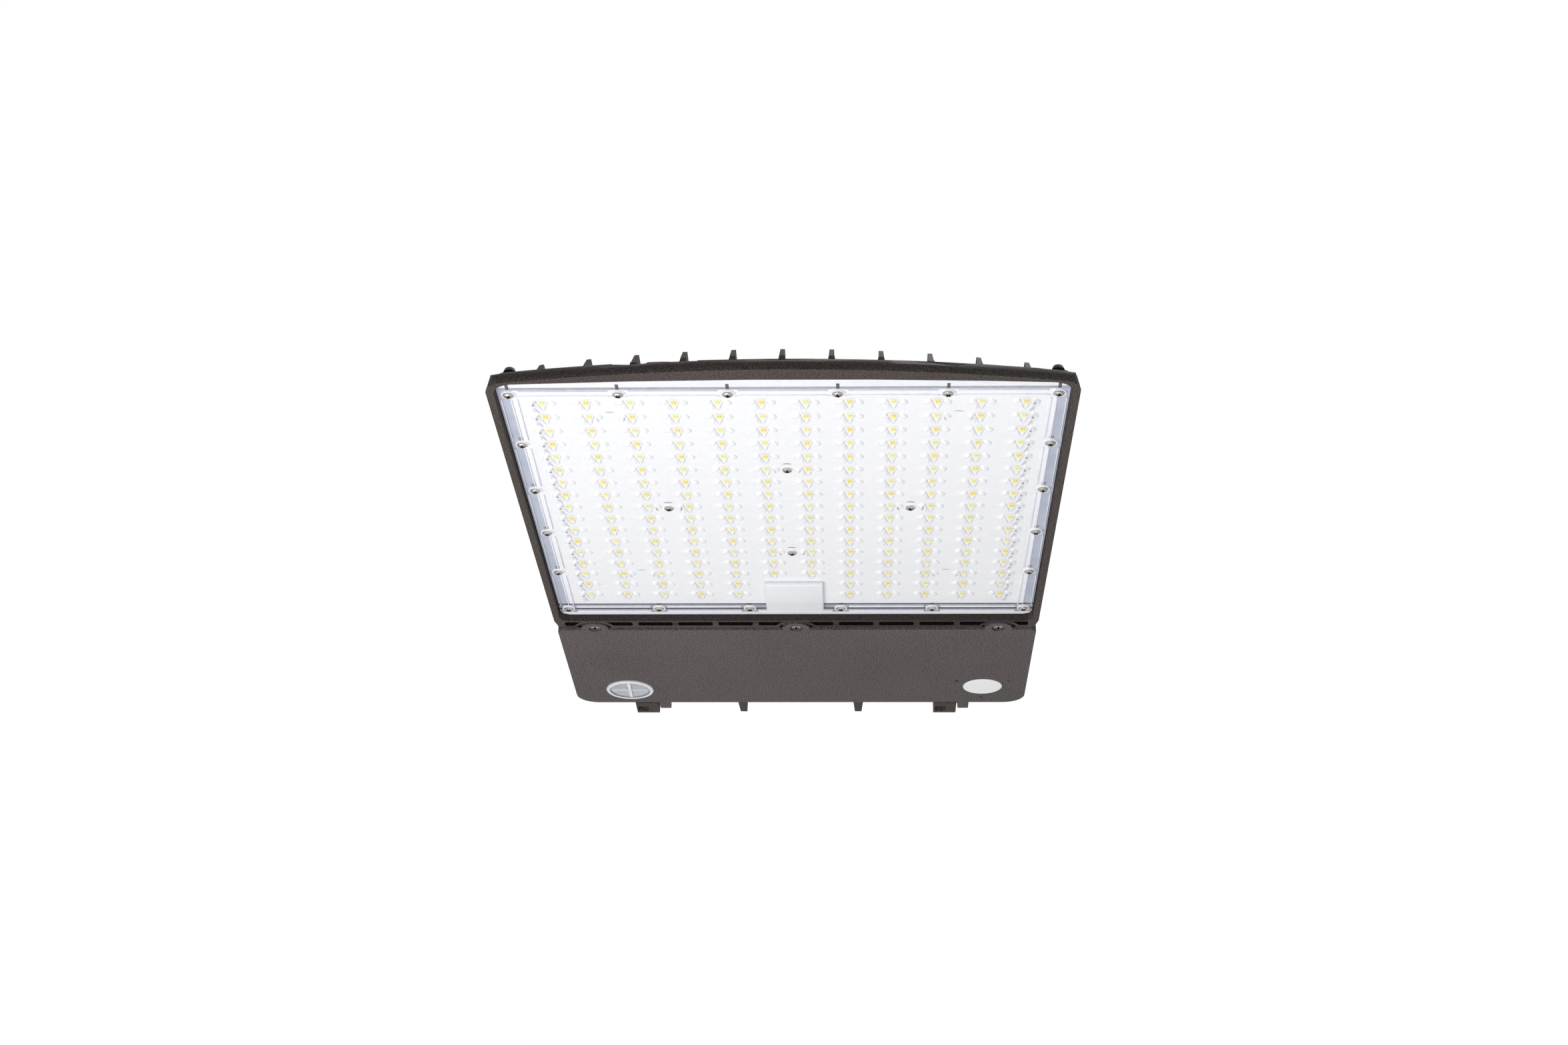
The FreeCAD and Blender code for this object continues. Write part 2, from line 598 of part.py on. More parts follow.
def add_fins(body):
    """Eleven flared fins whose fronts follow a bow of their own."""
    shoulder = f"({TRAY_TOP} + fin_peak_height)"
    rear = f"({TRAY_TOP} + fin_rear_height)"
    count = int(size("fin_count"))
    for index in range(count):
        x = f"({index - (count - 1) / 2} * fin_pitch)"
        foot = f"{TRAY_TOP} - tray_depth / 2"
        neck = "(fin_root + fin_tip) / 4"
        section = [
            (f"{x} - fin_root / 2", foot), (f"{x} + fin_root / 2", foot),
            (f"{x} + fin_root / 2", f"{TRAY_TOP} - 1"), (f"{x} + {neck}", f"{TRAY_TOP} + fin_flare"),
            (f"{x} + fin_tip / 2", rear), (f"{x} - fin_tip / 2", rear),
            (f"{x} - {neck}", f"{TRAY_TOP} + fin_flare"), (f"{x} - fin_root / 2", f"{TRAY_TOP} - 1")]
        sagitta = f"(front_bow_radius - sqrt(front_bow_radius^2 - {x}^2))"
        length = f"front_reach - fin_start - {sagitta} + {SLOT_REAR} + 1"
        pad(body, "XZ_Plane", [section], f"-({SLOT_REAR} + 1)", length)
    lip = "(-fin_bow_radius)"
    tail = f"{lip} + front_reach + {SLOT_REAR}"
    turn(body, "YZ_Plane", [[
        (f"{lip} - 5", TRAY_TOP), (f"{lip} + fin_start", TRAY_TOP), (f"{lip} + fin_peak_setback", shoulder),
        (f"{tail} + 2", rear), (f"{tail} + 2", f"{rear} + 2"), (f"{lip} - 5", f"{rear} + 2")]],
        shift="fin_bow_radius - front_reach", removing=True)


def add_driver_box(body):
    """The rear box over the driver, open below, with the flange behind the bar."""
    half = "(box_width / 2)"
    radius = "box_corner_radius"
    outer = [(f"-{half}", SLOT_REAR), (half, SLOT_REAR), (half, f"{REAR_WALL} - {radius}", radius),
             (f"{half} - {radius}", REAR_WALL), (f"-{half} + {radius}", REAR_WALL, radius),
             (f"-{half}", f"{REAR_WALL} - {radius}")]
    shell = pad(body, "XY_Plane", [outer], SEAM, f"{BOX_TOP} - {SEAM}")
    doc.recompute()
    names = []
    for number, edge in enumerate(shell.Shape.Edges, start=1):
        limits = edge.BoundBox
        if limits.ZMin > size(BOX_TOP) - 0.01 and limits.YMax > size(SLOT_REAR) + 0.01:
            names.append(f"Edge{number}")
    rim = body.newObject("PartDesign::Fillet", "TopEdges")
    rim.Base = (shell, names)
    bind(rim, "Radius", "box_edge_radius")
    inside = "(box_width / 2 - box_wall)"
    turned = "(box_corner_radius - box_wall)"
    back = f"({REAR_WALL} - box_wall)"
    cut(body, "XY_Plane", [[
        (f"-{inside}", BEAM_REAR), (inside, BEAM_REAR), (inside, f"{back} - {turned}", turned),
        (f"{inside} - {turned}", back), (f"-{inside} + {turned}", back, turned),
        (f"-{inside}", f"{back} - {turned}")]], SEAM, f"{CEILING} - {SEAM}")
    flange = box(f"-{inside} - 1", f"{inside} + 1", f"{BEAM_REAR} - 1", f"{BEAM_REAR} + seal_flange")
    pad(body, "XY_Plane", [flange], SEAM, "box_wall")


def add_arches(body):
    """Three arches that carry the bar round the door screws, with the screws' bosses."""
    outer_arch = f"({ARCH} + arch_wall)"
    top = f"({SLOT_FRONT} - bay_rear_wall / 3)"
    reach = [f"sqrt({outer_arch}^2 - ({y} + door_screw_setback)^2)" for y in (BEAM_REAR, top)]
    pad(body, "XY_Plane", [[
        (f"{x} - {reach[0]}", BEAM_REAR, outer_arch), (f"{x} - {reach[1]}", top),
        (f"{x} + {reach[1]}", top, outer_arch), (f"{x} + {reach[0]}", BEAM_REAR)] for x in DOOR_SCREWS],
        RIM, "door_depth + door_seal + box_wall")
    pad(body, "XY_Plane", [("ring", x, "-door_screw_setback", "thread_boss / 2") for x in DOOR_SCREWS],
        f"{SEAM} + box_wall / 2", "thread_boss_height - box_wall / 2")
    cut_arch_gaps(body)
    cut(body, "XY_Plane", [
        ("ring", x, "-door_screw_setback", "door_screw_shank / 2 + door_thread_clearance")
        for x in DOOR_SCREWS], SEAM, "thread_boss_height - 1")


def cut_arch_gaps(body):
    cut(body, "XY_Plane", [("ring", x, "-door_screw_setback", ARCH) for x in DOOR_SCREWS],
        RIM, "door_depth + door_seal")


def add_cable_duct(body):
    """A hump over the slots that carries the LED cable from the bay to the box."""
    pad(body, "XY_Plane", [box("-duct_width / 2", "duct_width / 2", "-duct_front", f"{BEAM_REAR} - 1")],
        f"{TRAY_TOP} - 1", "duct_height + 1")
    cut(body, "XY_Plane", [("ring", "0", "-duct_drop", "duct_bore / 2")], f"{FLOOR} - 1",
        f"{DUCT} - {FLOOR} + 1")
    cut_duct_bore(body)


def cut_duct_bore(body):
    cut(body, "XZ_Plane", [("ring", "0", DUCT, "duct_bore / 2")], f"-({BEAM_REAR}) - 1",
        f"duct_drop + {BEAM_REAR} + 1")


def cut_lens_bay(body):
    """The recess for the lens, its gasket groove, the board's floor and all threads."""
    half = "(body_width / 2 - rim_width)"
    pocket = bowed_plan(half, "(front_reach - front_rim_width)", "bay_bow_radius", "corner_radius",
                        [(half, "-bay_rear - corner_radius / 2", "corner_radius / 2"),
                         (f"{half} - corner_radius / 2", "-bay_rear")])
    cut(body, "XY_Plane", [pocket], RIM, "lens_recess + lens_thickness")
    cut(body, "XY_Plane", [seal_line("gasket_inset + gasket_width + 2")], LENS_IN, f"{FLOOR} - {LENS_IN}")
    cut(body, "XY_Plane", [seal_line("gasket_inset"), seal_line("gasket_inset + gasket_width")],
        LENS_IN, "gasket_height")
    cut_screw_holes(body, lens_screw_places(), "lens_screw_shank / 2 + thread_play",
                    LENS_IN, "lens_screw_bite + screw_tip_gap")
    for places, shank in ((CENTRE_SCREWS, "lens_screw_shank"), (BOARD_SCREWS, "board_screw_shank")):
        cut_screw_holes(body, places, shank + " / 2 + thread_play", FLOOR, "board_screw_bite + screw_tip_gap")


def cut_screw_holes(body, places, radius, start, length):
    """Equal holes, four to a sketch."""
    for first in range(0, len(places), 4):
        cut(body, "XY_Plane", [eight_sided(x, y, radius) for x, y in places[first:first + 4]], start, length)


def seal_line(inset):
    """A rectangle that lies inside the lens screws by the inset."""
    return box(f"-lens_screw_x + {inset}", f"lens_screw_x - ({inset})",
               f"-lens_screw_front + {inset}", f"-lens_screw_rear - ({inset})")


def add_bosses(body):
    """Thread bosses on the tray top and under the corner plugs."""
    for places in (BOARD_SCREWS, CENTRE_SCREWS):
        pad(body, "XY_Plane", [eight_sided(x, y, "screw_boss / 2") for x, y in places],
            f"{TRAY_TOP} - 1", "screw_boss_height + 1")
    pad(body, "XY_Plane", [
        ("ring", side + "corner_plug_x", "-corner_plug_setback", "corner_boss / 2") for side in ("-", "")],
        f"{TRAY_TOP} - 4", "lip_drop - tray_depth - corner_plug_top - corner_plug_height + 4")


def add_mounting(body):
    """The arm pad with its bolt and wire holes, between two tapered ribs."""
    pad(body, "XZ_Plane", [centred("0", "0", "pad_width", "pad_tall")], "0", "pad_height + 1")
    spots = [(f"{side}bolt_spacing_x / 2", f"{height}bolt_spacing_z / 2")
             for side in ("-", "") for height in ("-", "")]
    pad(body, "XZ_Plane", [centred("0", "0", "pad_width", "pad_tall")],
        "pad_height + box_wall - 1", "bolt_boss_length + 1")
    cut(body, "XZ_Plane", [("ring", x, z, "bolt_hole / 2") for x, z in spots], "0",
        "pad_height + box_wall + bolt_boss_length - 2")
    cut(body, "XZ_Plane", [("ring", "0", "0", "wire_hole / 2")], "0",
        "pad_height + box_wall + bolt_boss_length + 1")
    for start, length, root in ((SEAM, f"{BOX_TOP} - {SEAM} - box_edge_radius", f"{REAR_WALL} - 1"),
                                (f"{RIM} + 1", "door_depth + door_seal", f"{REAR_WALL} + swing_gap")):
        pad(body, "XY_Plane", [[
            (f"{x} - rib_root / 2", root), (f"{x} + rib_root / 2", root),
            (f"{x} + rib_tip / 2", "rib_reach"), (f"{x} - rib_tip / 2", "rib_reach")]
            for x in ("-rib_spacing / 2", "rib_spacing / 2")], start, length)


def add_hinge_blocks(body):
    """Two blocks behind the rear wall, each with a window and a bored half."""
    for start, length, root in ((SEAM, "block_tall - door_depth - door_seal", f"{REAR_WALL} - 1"),
                                (RIM, "door_depth + door_seal", f"{REAR_WALL} + swing_gap")):
        pad(body, "XY_Plane", [box(f"{x} - block_width / 2", f"{x} + block_width / 2",
                                   root, "rib_reach") for x in HINGES], start, length)
    rear = "(rib_reach - window_margin)"
    lefts = [f"{x} - block_width / 2 + block_side_wall" for x in HINGES]
    cut(body, "XY_Plane", [box(left, f"{left} + window_width", f"{rear} - window_length", rear)
                           for left in lefts], RIM, "door_depth + door_seal")
    for x in HINGES:
        cut(body, "YZ_Plane", [("ring", "hinge_setback", PIN_Z, "pin_diameter / 2 + pin_clearance")],
            x, "block_width / 2 + 1")


def add_standoffs(body):
    """Bosses that carry the driver, its neighbours and the selector bracket."""
    for first in range(0, len(CEILING_SCREWS), 3):
        places = CEILING_SCREWS[first:first + 3]
        pad(body, "XY_Plane", [eight_sided(x, y, "screw_boss / 2") for x, y in places],
            SEATS, "standoff + 1")
    cut_screw_holes(body, CEILING_SCREWS, "lens_screw_shank / 2 + thread_play",
                    SEATS, "board_screw_bite + screw_tip_gap")
    pad(body, "XZ_Plane", [eight_sided(x, z, "screw_boss / 2") for x, z in BRACKET_SCREWS],
        "pad_height + box_wall - 1", "standoff + 1")
    cut(body, "XZ_Plane", [eight_sided(x, z, "lens_screw_shank / 2 + thread_play") for x, z in BRACKET_SCREWS],
        "pad_height + box_wall + standoff - board_screw_bite - screw_tip_gap",
        "board_screw_bite + screw_tip_gap")


def make_housing():
    """One casting, drawn as the lens tray and the driver box and then joined."""
    rear = new_body("driver_box_half", keep=False)
    add_driver_box(rear)
    add_standoffs(rear)
    add_arches(rear)
    cut_duct_bore(rear)
    add_mounting(rear)
    add_hinge_blocks(rear)
    body = new_body("housing")
    add_tray(body)
    add_fins(body)
    cut_slots(body)
    cut_arch_gaps(body)
    add_cable_duct(body)
    add_bosses(body)
    cut_lens_bay(body)
    joined = body.newObject("PartDesign::Boolean", "Joined")
    joined.Type = "Fuse"
    joined.Group = [rear]


# ------------------------------------------------------------------ lens bay
def grid_place(column, row):
    """Place of one LED, counted from the left front."""
    return f"{column - 5.5} * led_pitch_x", f"-grid_setback + {row - 8} * led_pitch_y"


def grid_places():
    """Twelve columns of seventeen rows; the middle two stop short of the connector."""
    return [(column, row) for row in range(17) for column in range(12) if row < 15 or column not in (5, 6)]


def make_board():
    body = new_body("led_board")
    front, rear = f"{GRID_FRONT} - board_margin", f"{GRID_REAR} + board_margin"
    notch = "-duct_drop - duct_bore / 2 - 1"
    pad(body, "XY_Plane", [[
        ("-board_width / 2", front), ("board_width / 2", front), ("board_width / 2", rear),
        ("notch_width / 2", rear), ("notch_width / 2", notch), ("-notch_width / 2", notch),
        ("-notch_width / 2", rear), ("-board_width / 2", rear)]], BOARD, "board_thickness")
    cut_screw_holes(body, BOARD_SCREWS, "board_screw_shank / 2 + screw_clearance", BOARD, "board_thickness")
    cut_screw_holes(body, CENTRE_SCREWS, "lens_screw_shank / 2 + screw_clearance", BOARD, "board_thickness")
    package = new_body("led_package", keep=False)
    pad(package, "XY_Plane", [centred("0", "0", "led_size", "led_size")], "-led_height", "led_height")
    for label, shade in (("cool_leds", 0), ("warm_leds", 1)):
        places = [(*grid_place(column, row), BOARD) for column, row in grid_places()
                  if (column + row) % 2 == shade]
        copies(label, package, places)
    plug = new_body("board_connector")
    pad(plug, "XY_Plane", [centred("0", "-connector_setback - connector_length / 2",
                                   "connector_width", "connector_length")],
        f"{BOARD} - connector_height", "connector_height")


def make_lens():
    """The moulded plate: posts, frosted cover and two hundred optics."""
    body = new_body("lens")
    half = "(body_width / 2 - rim_width - lens_gap)"
    rear, curve = "(-bay_rear - lens_gap)", "(corner_radius / 2 - lens_gap)"
    pad(body, "XY_Plane", [bowed_plan(
        half, "(front_reach - front_rim_width - lens_gap)", "bay_bow_radius", "(corner_radius - lens_gap)",
        [(half, f"{rear} - {curve}", curve), (f"{half} - {curve}", rear)])], LENS_OUT, "lens_thickness")
    cut_screw_holes(body, lens_screw_places(), "lens_screw_shank / 2 + screw_clearance",
                    LENS_OUT, "lens_thickness")
    pad(body, "XY_Plane", [("ring", x, y, "lens_post / 2") for x, y in CENTRE_SCREWS],
        LENS_IN, f"{BOARD} - {LENS_IN}")
    seat = f"({BOARD} - lens_post_floor)"
    cut_screw_holes(body, CENTRE_SCREWS, "lens_screw_shank / 2 + screw_clearance", seat, "lens_post_floor")
    add_optics(body)
    cut(body, "XY_Plane", [("ring", x, y, "lens_post_pocket / 2") for x, y in CENTRE_SCREWS],
        f"{LENS_OUT} - optic_height", f"{seat} - {LENS_OUT} + optic_height")
    cover = ("0", "(-cover_rear - cover_length / 2)")
    pad(body, "XY_Plane", [centred(*cover, "cover_width", "cover_length")],
        f"{LENS_OUT} - cover_height", "cover_height")
    cut(body, "XY_Plane", [centred(*cover, "cover_width - 2 * cover_wall", "cover_length - 2 * cover_wall")],
        f"{LENS_OUT} - cover_height + cover_wall", "cover_height - cover_wall + lens_thickness")


def add_optics(body):
    """A raised field with drafted sides, parted into single optics by crossing channels."""
    (left, front), (right, rear) = grid_place(0, 0), grid_place(11, 16)
    inner, step = grid_place(4, 14)[0], grid_place(4, 14)[1]
    wide, long = "optic_width / 2", "optic_length / 2"
    field = pad(body, "XY_Plane", [[
        (f"{left} - {wide}", f"{front} - {long}"), (f"{right} + {wide}", f"{front} - {long}"),
        (f"{right} + {wide}", f"{rear} + {long}"), (f"-({inner}) - {wide}", f"{rear} + {long}"),
        (f"-({inner}) - {wide}", f"{step} + {long}"), (f"{inner} + {wide}", f"{step} + {long}"),
        (f"{inner} + {wide}", f"{rear} + {long}"), (f"{left} - {wide}", f"{rear} + {long}")]],
        LENS_OUT, "optic_height", "optic_slope")
    field.Reversed = True
    lean = "optic_height * tan(optic_slope * 1deg)"
    for plane, pitch, size, start, count, begin, length in (
            ("YZ_Plane", "led_pitch_y", "optic_length", front, 16, f"{left} - optic_width",
             "11 * led_pitch_x + 2 * optic_width"),
            ("XZ_Plane", "led_pitch_x", "optic_width", left, 11, f"-({rear}) - optic_length",
             "16 * led_pitch_y + 2 * optic_length")):
        low, high = f"{start} + {size} / 2", f"{start} + {pitch} - {size} / 2"
        channel = cut(body, plane, [[
            (low, LENS_OUT), (high, LENS_OUT), (f"{high} + {lean}", f"{LENS_OUT} - optic_height"),
            (f"{low} - {lean}", f"{LENS_OUT} - optic_height")]], begin, length)
        row = body.newObject("PartDesign::LinearPattern", "Channels")
        row.Originals = [channel]
        row.Direction = (channel.Profile[0], ["H_Axis"])
        row.Occurrences = count
        bind(row, "Length", f"{count - 1} * {pitch}")
        row.Refine = False
        body.Tip = row


def make_lens_fixings():
    gasket = new_body("lens_gasket")
    pad(gasket, "XY_Plane", [seal_line("gasket_inset"), seal_line("gasket_inset + gasket_width")],
        LENS_IN, "gasket_height")
    rim = pan_screw("rim_screw", "lens_screw_shank", "lens_screw_head", "lens_screw_head_height",
                    "lens_thickness + lens_screw_bite")
    copies("lens_rim_screws", rim, [(x, y, LENS_OUT) for x, y in lens_screw_places()])
    middle = pan_screw("middle_screw", "lens_screw_shank", "lens_screw_head", "lens_screw_head_height",
                       "lens_post_floor + board_thickness + board_screw_bite")
    copies("lens_centre_screws", middle, [(x, y, f"{BOARD} - lens_post_floor") for x, y in CENTRE_SCREWS])
    small = pan_screw("small_screw", "board_screw_shank", "board_screw_head", "board_screw_head_height",
                      "board_thickness + board_screw_bite")
    copies("board_screws", small, [(x, y, BOARD) for x, y in BOARD_SCREWS])
    plug = new_body("corner_plug", keep=False)
    turn(plug, "XZ_Plane", [[
        ("0", "0"), ("corner_plug_width / 2 + 0.5", "0"),
        ("corner_plug_width / 2 - 0.8", "corner_plug_height"), ("0", "corner_plug_height")]])
    copies("corner_plugs", plug, [(side + "corner_plug_x", "-corner_plug_setback",
                                   "-corner_plug_top - corner_plug_height") for side in ("-", "")])


# ------------------------------------------------------------------ driver door
def door_plan(inset, front, clip="0"):
    """The door's outline: rounded rear corners, clipped front ones."""
    half = f"(box_width / 2 - {inset})"
    back = f"({REAR_WALL} - {inset})"
    radius = f"(box_corner_radius - {inset})"
    points = [(f"-{half}", f"{front} + {clip}"), (f"-{half} + {clip}", front),
              (f"{half} - {clip}", front), (half, f"{front} + {clip}")]
    if clip == "0":
        points = [(f"-{half}", front), (half, front)]
    return points + [
        (half, f"{back} - {radius}", radius), (f"{half} - {radius}", back),
        (f"-{half} + {radius}", back, radius), (f"-{half}", f"{back} - {radius}")]


def make_door():
    body = new_body("driver_door")
    skin = f"({RIM} + door_plate)"
    pad(body, "XY_Plane", [door_plan("0", DOOR_FRONT, "door_chamfer")], RIM, "door_plate")
    pad(body, "XY_Plane", [("ring", x, "-door_screw_setback", "door_bump") for x in DOOR_SCREWS],
        RIM, "door_bump_height")
    pad(body, "XY_Plane", [door_plan("0", SEAL_FRONT), door_plan("door_wall", f"{SEAL_FRONT} + door_wall")],
        f"{skin} - 1", "door_depth - door_plate + 1")
    cap, port = ("cap_x", "-cap_setback"), ("plug_x", "-plug_setback")
    cap_bore, port_bore = "(cap_neck / 2 + cap_clearance)", "(plug_neck / 2 + plug_clearance)"
    pad(body, "XY_Plane", [("ring", *cap, f"{cap_bore} + collar_wall"),
                           ("ring", *port, f"{port_bore} + collar_wall")],
        f"{skin} - 1", "collar_height + 1")
    pad(body, "XY_Plane", [eight_sided(x, y, "sensor_boss / 2") for x, y in sensor_holes()],
        f"{skin} - 1", "sensor_hole_depth - door_plate + 2")
    cut(body, "XY_Plane", [("ring", *cap, cap_bore), ("ring", *port, port_bore)],
        RIM, "door_plate + collar_height")
    cut(body, "XY_Plane", [("ring", *port, "plug_width / 2 + plug_clearance")],
        RIM, "plug_disc - plug_stand + turning_play")
    cut(body, "XY_Plane", [("ring", *cap, f"{cap_bore} + seal_section / 2"),
                           ("ring", *cap, f"{cap_bore} + 2 * seal_section")], RIM, "seal_section")
    cut(body, "XY_Plane", [("ring", *port, f"{port_bore} + seal_section / 4"),
                           ("ring", *port, f"{port_bore} + 1.25 * seal_section")],
        f"{RIM} + plug_disc - plug_stand + turning_play", "seal_section")
    cut(body, "XY_Plane", [("ring", x, y, "sensor_hole / 2") for x, y in sensor_holes()],
        RIM, "sensor_hole_depth")
    cut(body, "XY_Plane", [("ring", x, "-door_screw_setback", "door_screw_recess_width / 2")
                           for x in DOOR_SCREWS], RIM, "door_screw_recess")
    cut(body, "XY_Plane", [("ring", x, "-door_screw_setback", "door_screw_shank / 2 + screw_clearance")
                           for x in DOOR_SCREWS], RIM, "door_bump_height")
    for x in HINGES:
        middle = f"({x} + tab_offset)"
        low = f"{middle} - tab_width / 2"
        pad(body, "YZ_Plane", [box(f"{REAR_WALL} - door_wall", "hinge_setback", RIM, f"{RIM} + tab_thickness")],
            low, "tab_width")
        pad(body, "YZ_Plane", [("ring", "hinge_setback", PIN_Z, "eye_radius")], low, "tab_width")
        cut(body, "YZ_Plane", [("ring", "hinge_setback", PIN_Z, "pin_diameter / 2 + pin_clearance")],
            low, "tab_width")
    pins = new_body("hinge_pin", keep=False)
    pad(pins, "YZ_Plane", [("ring", "0", "0", "pin_diameter / 2")], "0",
        "tab_offset + tab_width / 2 + block_width / 2 - block_side_wall - window_width + pin_stub")
    start = "- block_width / 2 + block_side_wall + window_width - pin_stub"
    copies("hinge_pins", pins, [(f"{x} {start}", "hinge_setback", PIN_Z) for x in HINGES])


def sensor_holes():
    """Three holes round the sensor port, one of them towards the rear."""
    reach = "sensor_pitch_circle / 2"
    places = []
    for turned in (90, 210, 330):
        across, along = math.cos(math.radians(turned)), math.sin(math.radians(turned))
        places.append((f"plug_x + {reach} * ({across})", f"-plug_setback + {reach} * ({along})"))
    return places


def make_door_fittings():
    seal = new_body("door_gasket")
    pad(seal, "XY_Plane", [door_plan("0", SEAL_FRONT), door_plan("door_wall", f"{SEAL_FRONT} + door_wall")],
        DOOR_TOP, "door_seal - turning_play")
    seat = f"({RIM} + door_screw_recess)"
    screw = pan_screw("door_screw", "door_screw_shank", "door_screw_head", "door_screw_head_height",
                      f"{SEAM} + door_screw_bite - {seat}")
    places = [(x, "-door_screw_setback") for x in DOOR_SCREWS]
    copies("door_screws", screw, [(x, y, seat) for x, y in places])
    washer = new_body("retainer", keep=False)
    pad(washer, "XY_Plane", [eight_sided("0", "0", "retainer_width / 2"),
                             eight_sided("0", "0", "door_screw_shank / 2 + thread_play")],
        "0", "retainer_thickness")
    copies("screw_retainers", washer, [(x, y, f"{RIM} + door_bump_height") for x, y in places])


def make_cap():
    """The clear cap over the selector, with a cross grip, and its seal."""
    body = new_body("selector_cap")
    at = ("cap_x", "-cap_setback")
    low = f"({RIM} - turning_play - cap_flange)"
    top = f"({RIM} + cap_neck_length)"
    pad(body, "XY_Plane", [("ring", *at, "cap_width / 2")], low, "cap_flange")
    pad(body, "XY_Plane", [("ring", *at, "cap_neck / 2")], f"{low} + cap_flange / 2",
        f"{top} - {low} - cap_flange / 2")
    cut(body, "XY_Plane", [("ring", *at, "cap_cup / 2")], f"{top} - cap_cup_depth", "cap_cup_depth")
    cut(body, "XY_Plane", [("ring", *at, "cap_ring / 2")], low, "cap_recess")
    for wide, long in (("cap_ring + 1", "cap_grip"), ("cap_grip", "cap_ring + 1")):
        pad(body, "XY_Plane", [centred(*at, wide, long)], low, "cap_recess + 0.2")
    seal = new_body("cap_seal")
    bore = "(cap_neck / 2 + cap_clearance)"
    pad(seal, "XY_Plane", [("ring", *at, f"{bore} + seal_section / 2"),
                           ("ring", *at, f"{bore} + 2 * seal_section")],
        RIM, "seal_section")


def make_plug():
    """The white plug of the sensor port and the seal under its disc."""
    body = new_body("sensor_plug")
    at = ("plug_x", "-plug_setback")
    low = f"({RIM} - plug_stand)"
    pad(body, "XY_Plane", [("ring", *at, "plug_width / 2")], low, "plug_disc")
    pad(body, "XY_Plane", [("ring", *at, "plug_neck / 2")], f"{low} + plug_disc / 2",
        "plug_neck_length + plug_disc / 2")
    seal = new_body("plug_seal")
    bore = "(plug_neck / 2 + plug_clearance)"
    pad(seal, "XY_Plane", [("ring", *at, f"{bore} + seal_section / 4"),
                           ("ring", *at, f"{bore} + 1.25 * seal_section")],
        f"{low} + plug_disc + turning_play", "seal_section")


# ------------------------------------------------------------------ driver compartment
def make_driver():
    body = new_body("led_driver")
    at = ("driver_x", "-driver_setback")
    pad(body, "XY_Plane", [centred(*at, "driver_length", "driver_width")], DRIVER_LOW, "driver_height")
    ends = new_body("driver_end_cap", keep=False)
    pad(ends, "XY_Plane", [box("0", "driver_cap", "-driver_width / 2", "driver_width / 2")],
        DRIVER_LOW, "driver_height")
    pad(ends, "XY_Plane", [box("driver_cap / 2", "driver_cap + ear_reach", "-ear_width / 2", "ear_width / 2")],
        f"{SEATS} - ear_thickness", "ear_thickness")
    cut(ends, "XY_Plane", [eight_sided("driver_cap + ear_reach / 2", "0",
                                       "lens_screw_shank / 2 + screw_clearance")],
        f"{SEATS} - ear_thickness", "ear_thickness")
    link = doc.addObject("App::Link", "driver_end_caps_copies")
    link.setLink(ends)
    link.ElementCount = 2
    link.ShowElement = False
    link.PlacementList = [
        FreeCAD.Placement(Vector(size(f"driver_x {side} driver_length / 2"), size("-driver_setback"), 0),
                          FreeCAD.Rotation(Vector(0, 0, 1), turned)) for side, turned in (("+", 0), ("-", 180))]
    group = doc.addObject("Part::Compound", "driver_end_caps")
    group.Label = "driver_end_caps"
    group.Links = [link]
    nodes.append(group)


def make_surge_protector():
    body = new_body("surge_protector")
    at = ("surge_x", "-surge_setback")
    pad(body, "XY_Plane", [centred(*at, "surge_length", "surge_width")],
        f"{SEATS} - surge_height", "surge_height")
    pad(body, "XY_Plane", [centred(*at, "surge_length + 2 * ear_reach", "ear_width")],
        f"{SEATS} - ear_thickness", "ear_thickness")
    cut(body, "XY_Plane", [eight_sided(x, y, "lens_screw_shank / 2 + screw_clearance")
                           for x, y in SURGE_SCREWS], f"{SEATS} - ear_thickness", "ear_thickness")


def make_terminal_block():
    body = new_body("terminal_block")
    at = ("terminal_x", "-terminal_setback")
    low = f"({SEATS} - terminal_height)"
    pad(body, "XY_Plane", [centred(*at, "terminal_length", "terminal_width")], low, "terminal_height")
    cut(body, "XY_Plane", [eight_sided(*at, "lens_screw_head / 2 + screw_clearance")],
        low, "terminal_height - ear_thickness")
    cut(body, "XY_Plane", [eight_sided(*at, "lens_screw_shank / 2 + screw_clearance")], low, "terminal_height")
    grooves = [centred(f"terminal_x {side} terminal_length * 0.3", "-terminal_setback",
                       "terminal_width / 12", "terminal_width + 2") for side in ("-", "+")]
    cut(body, "XY_Plane", grooves, low, "terminal_height / 5")


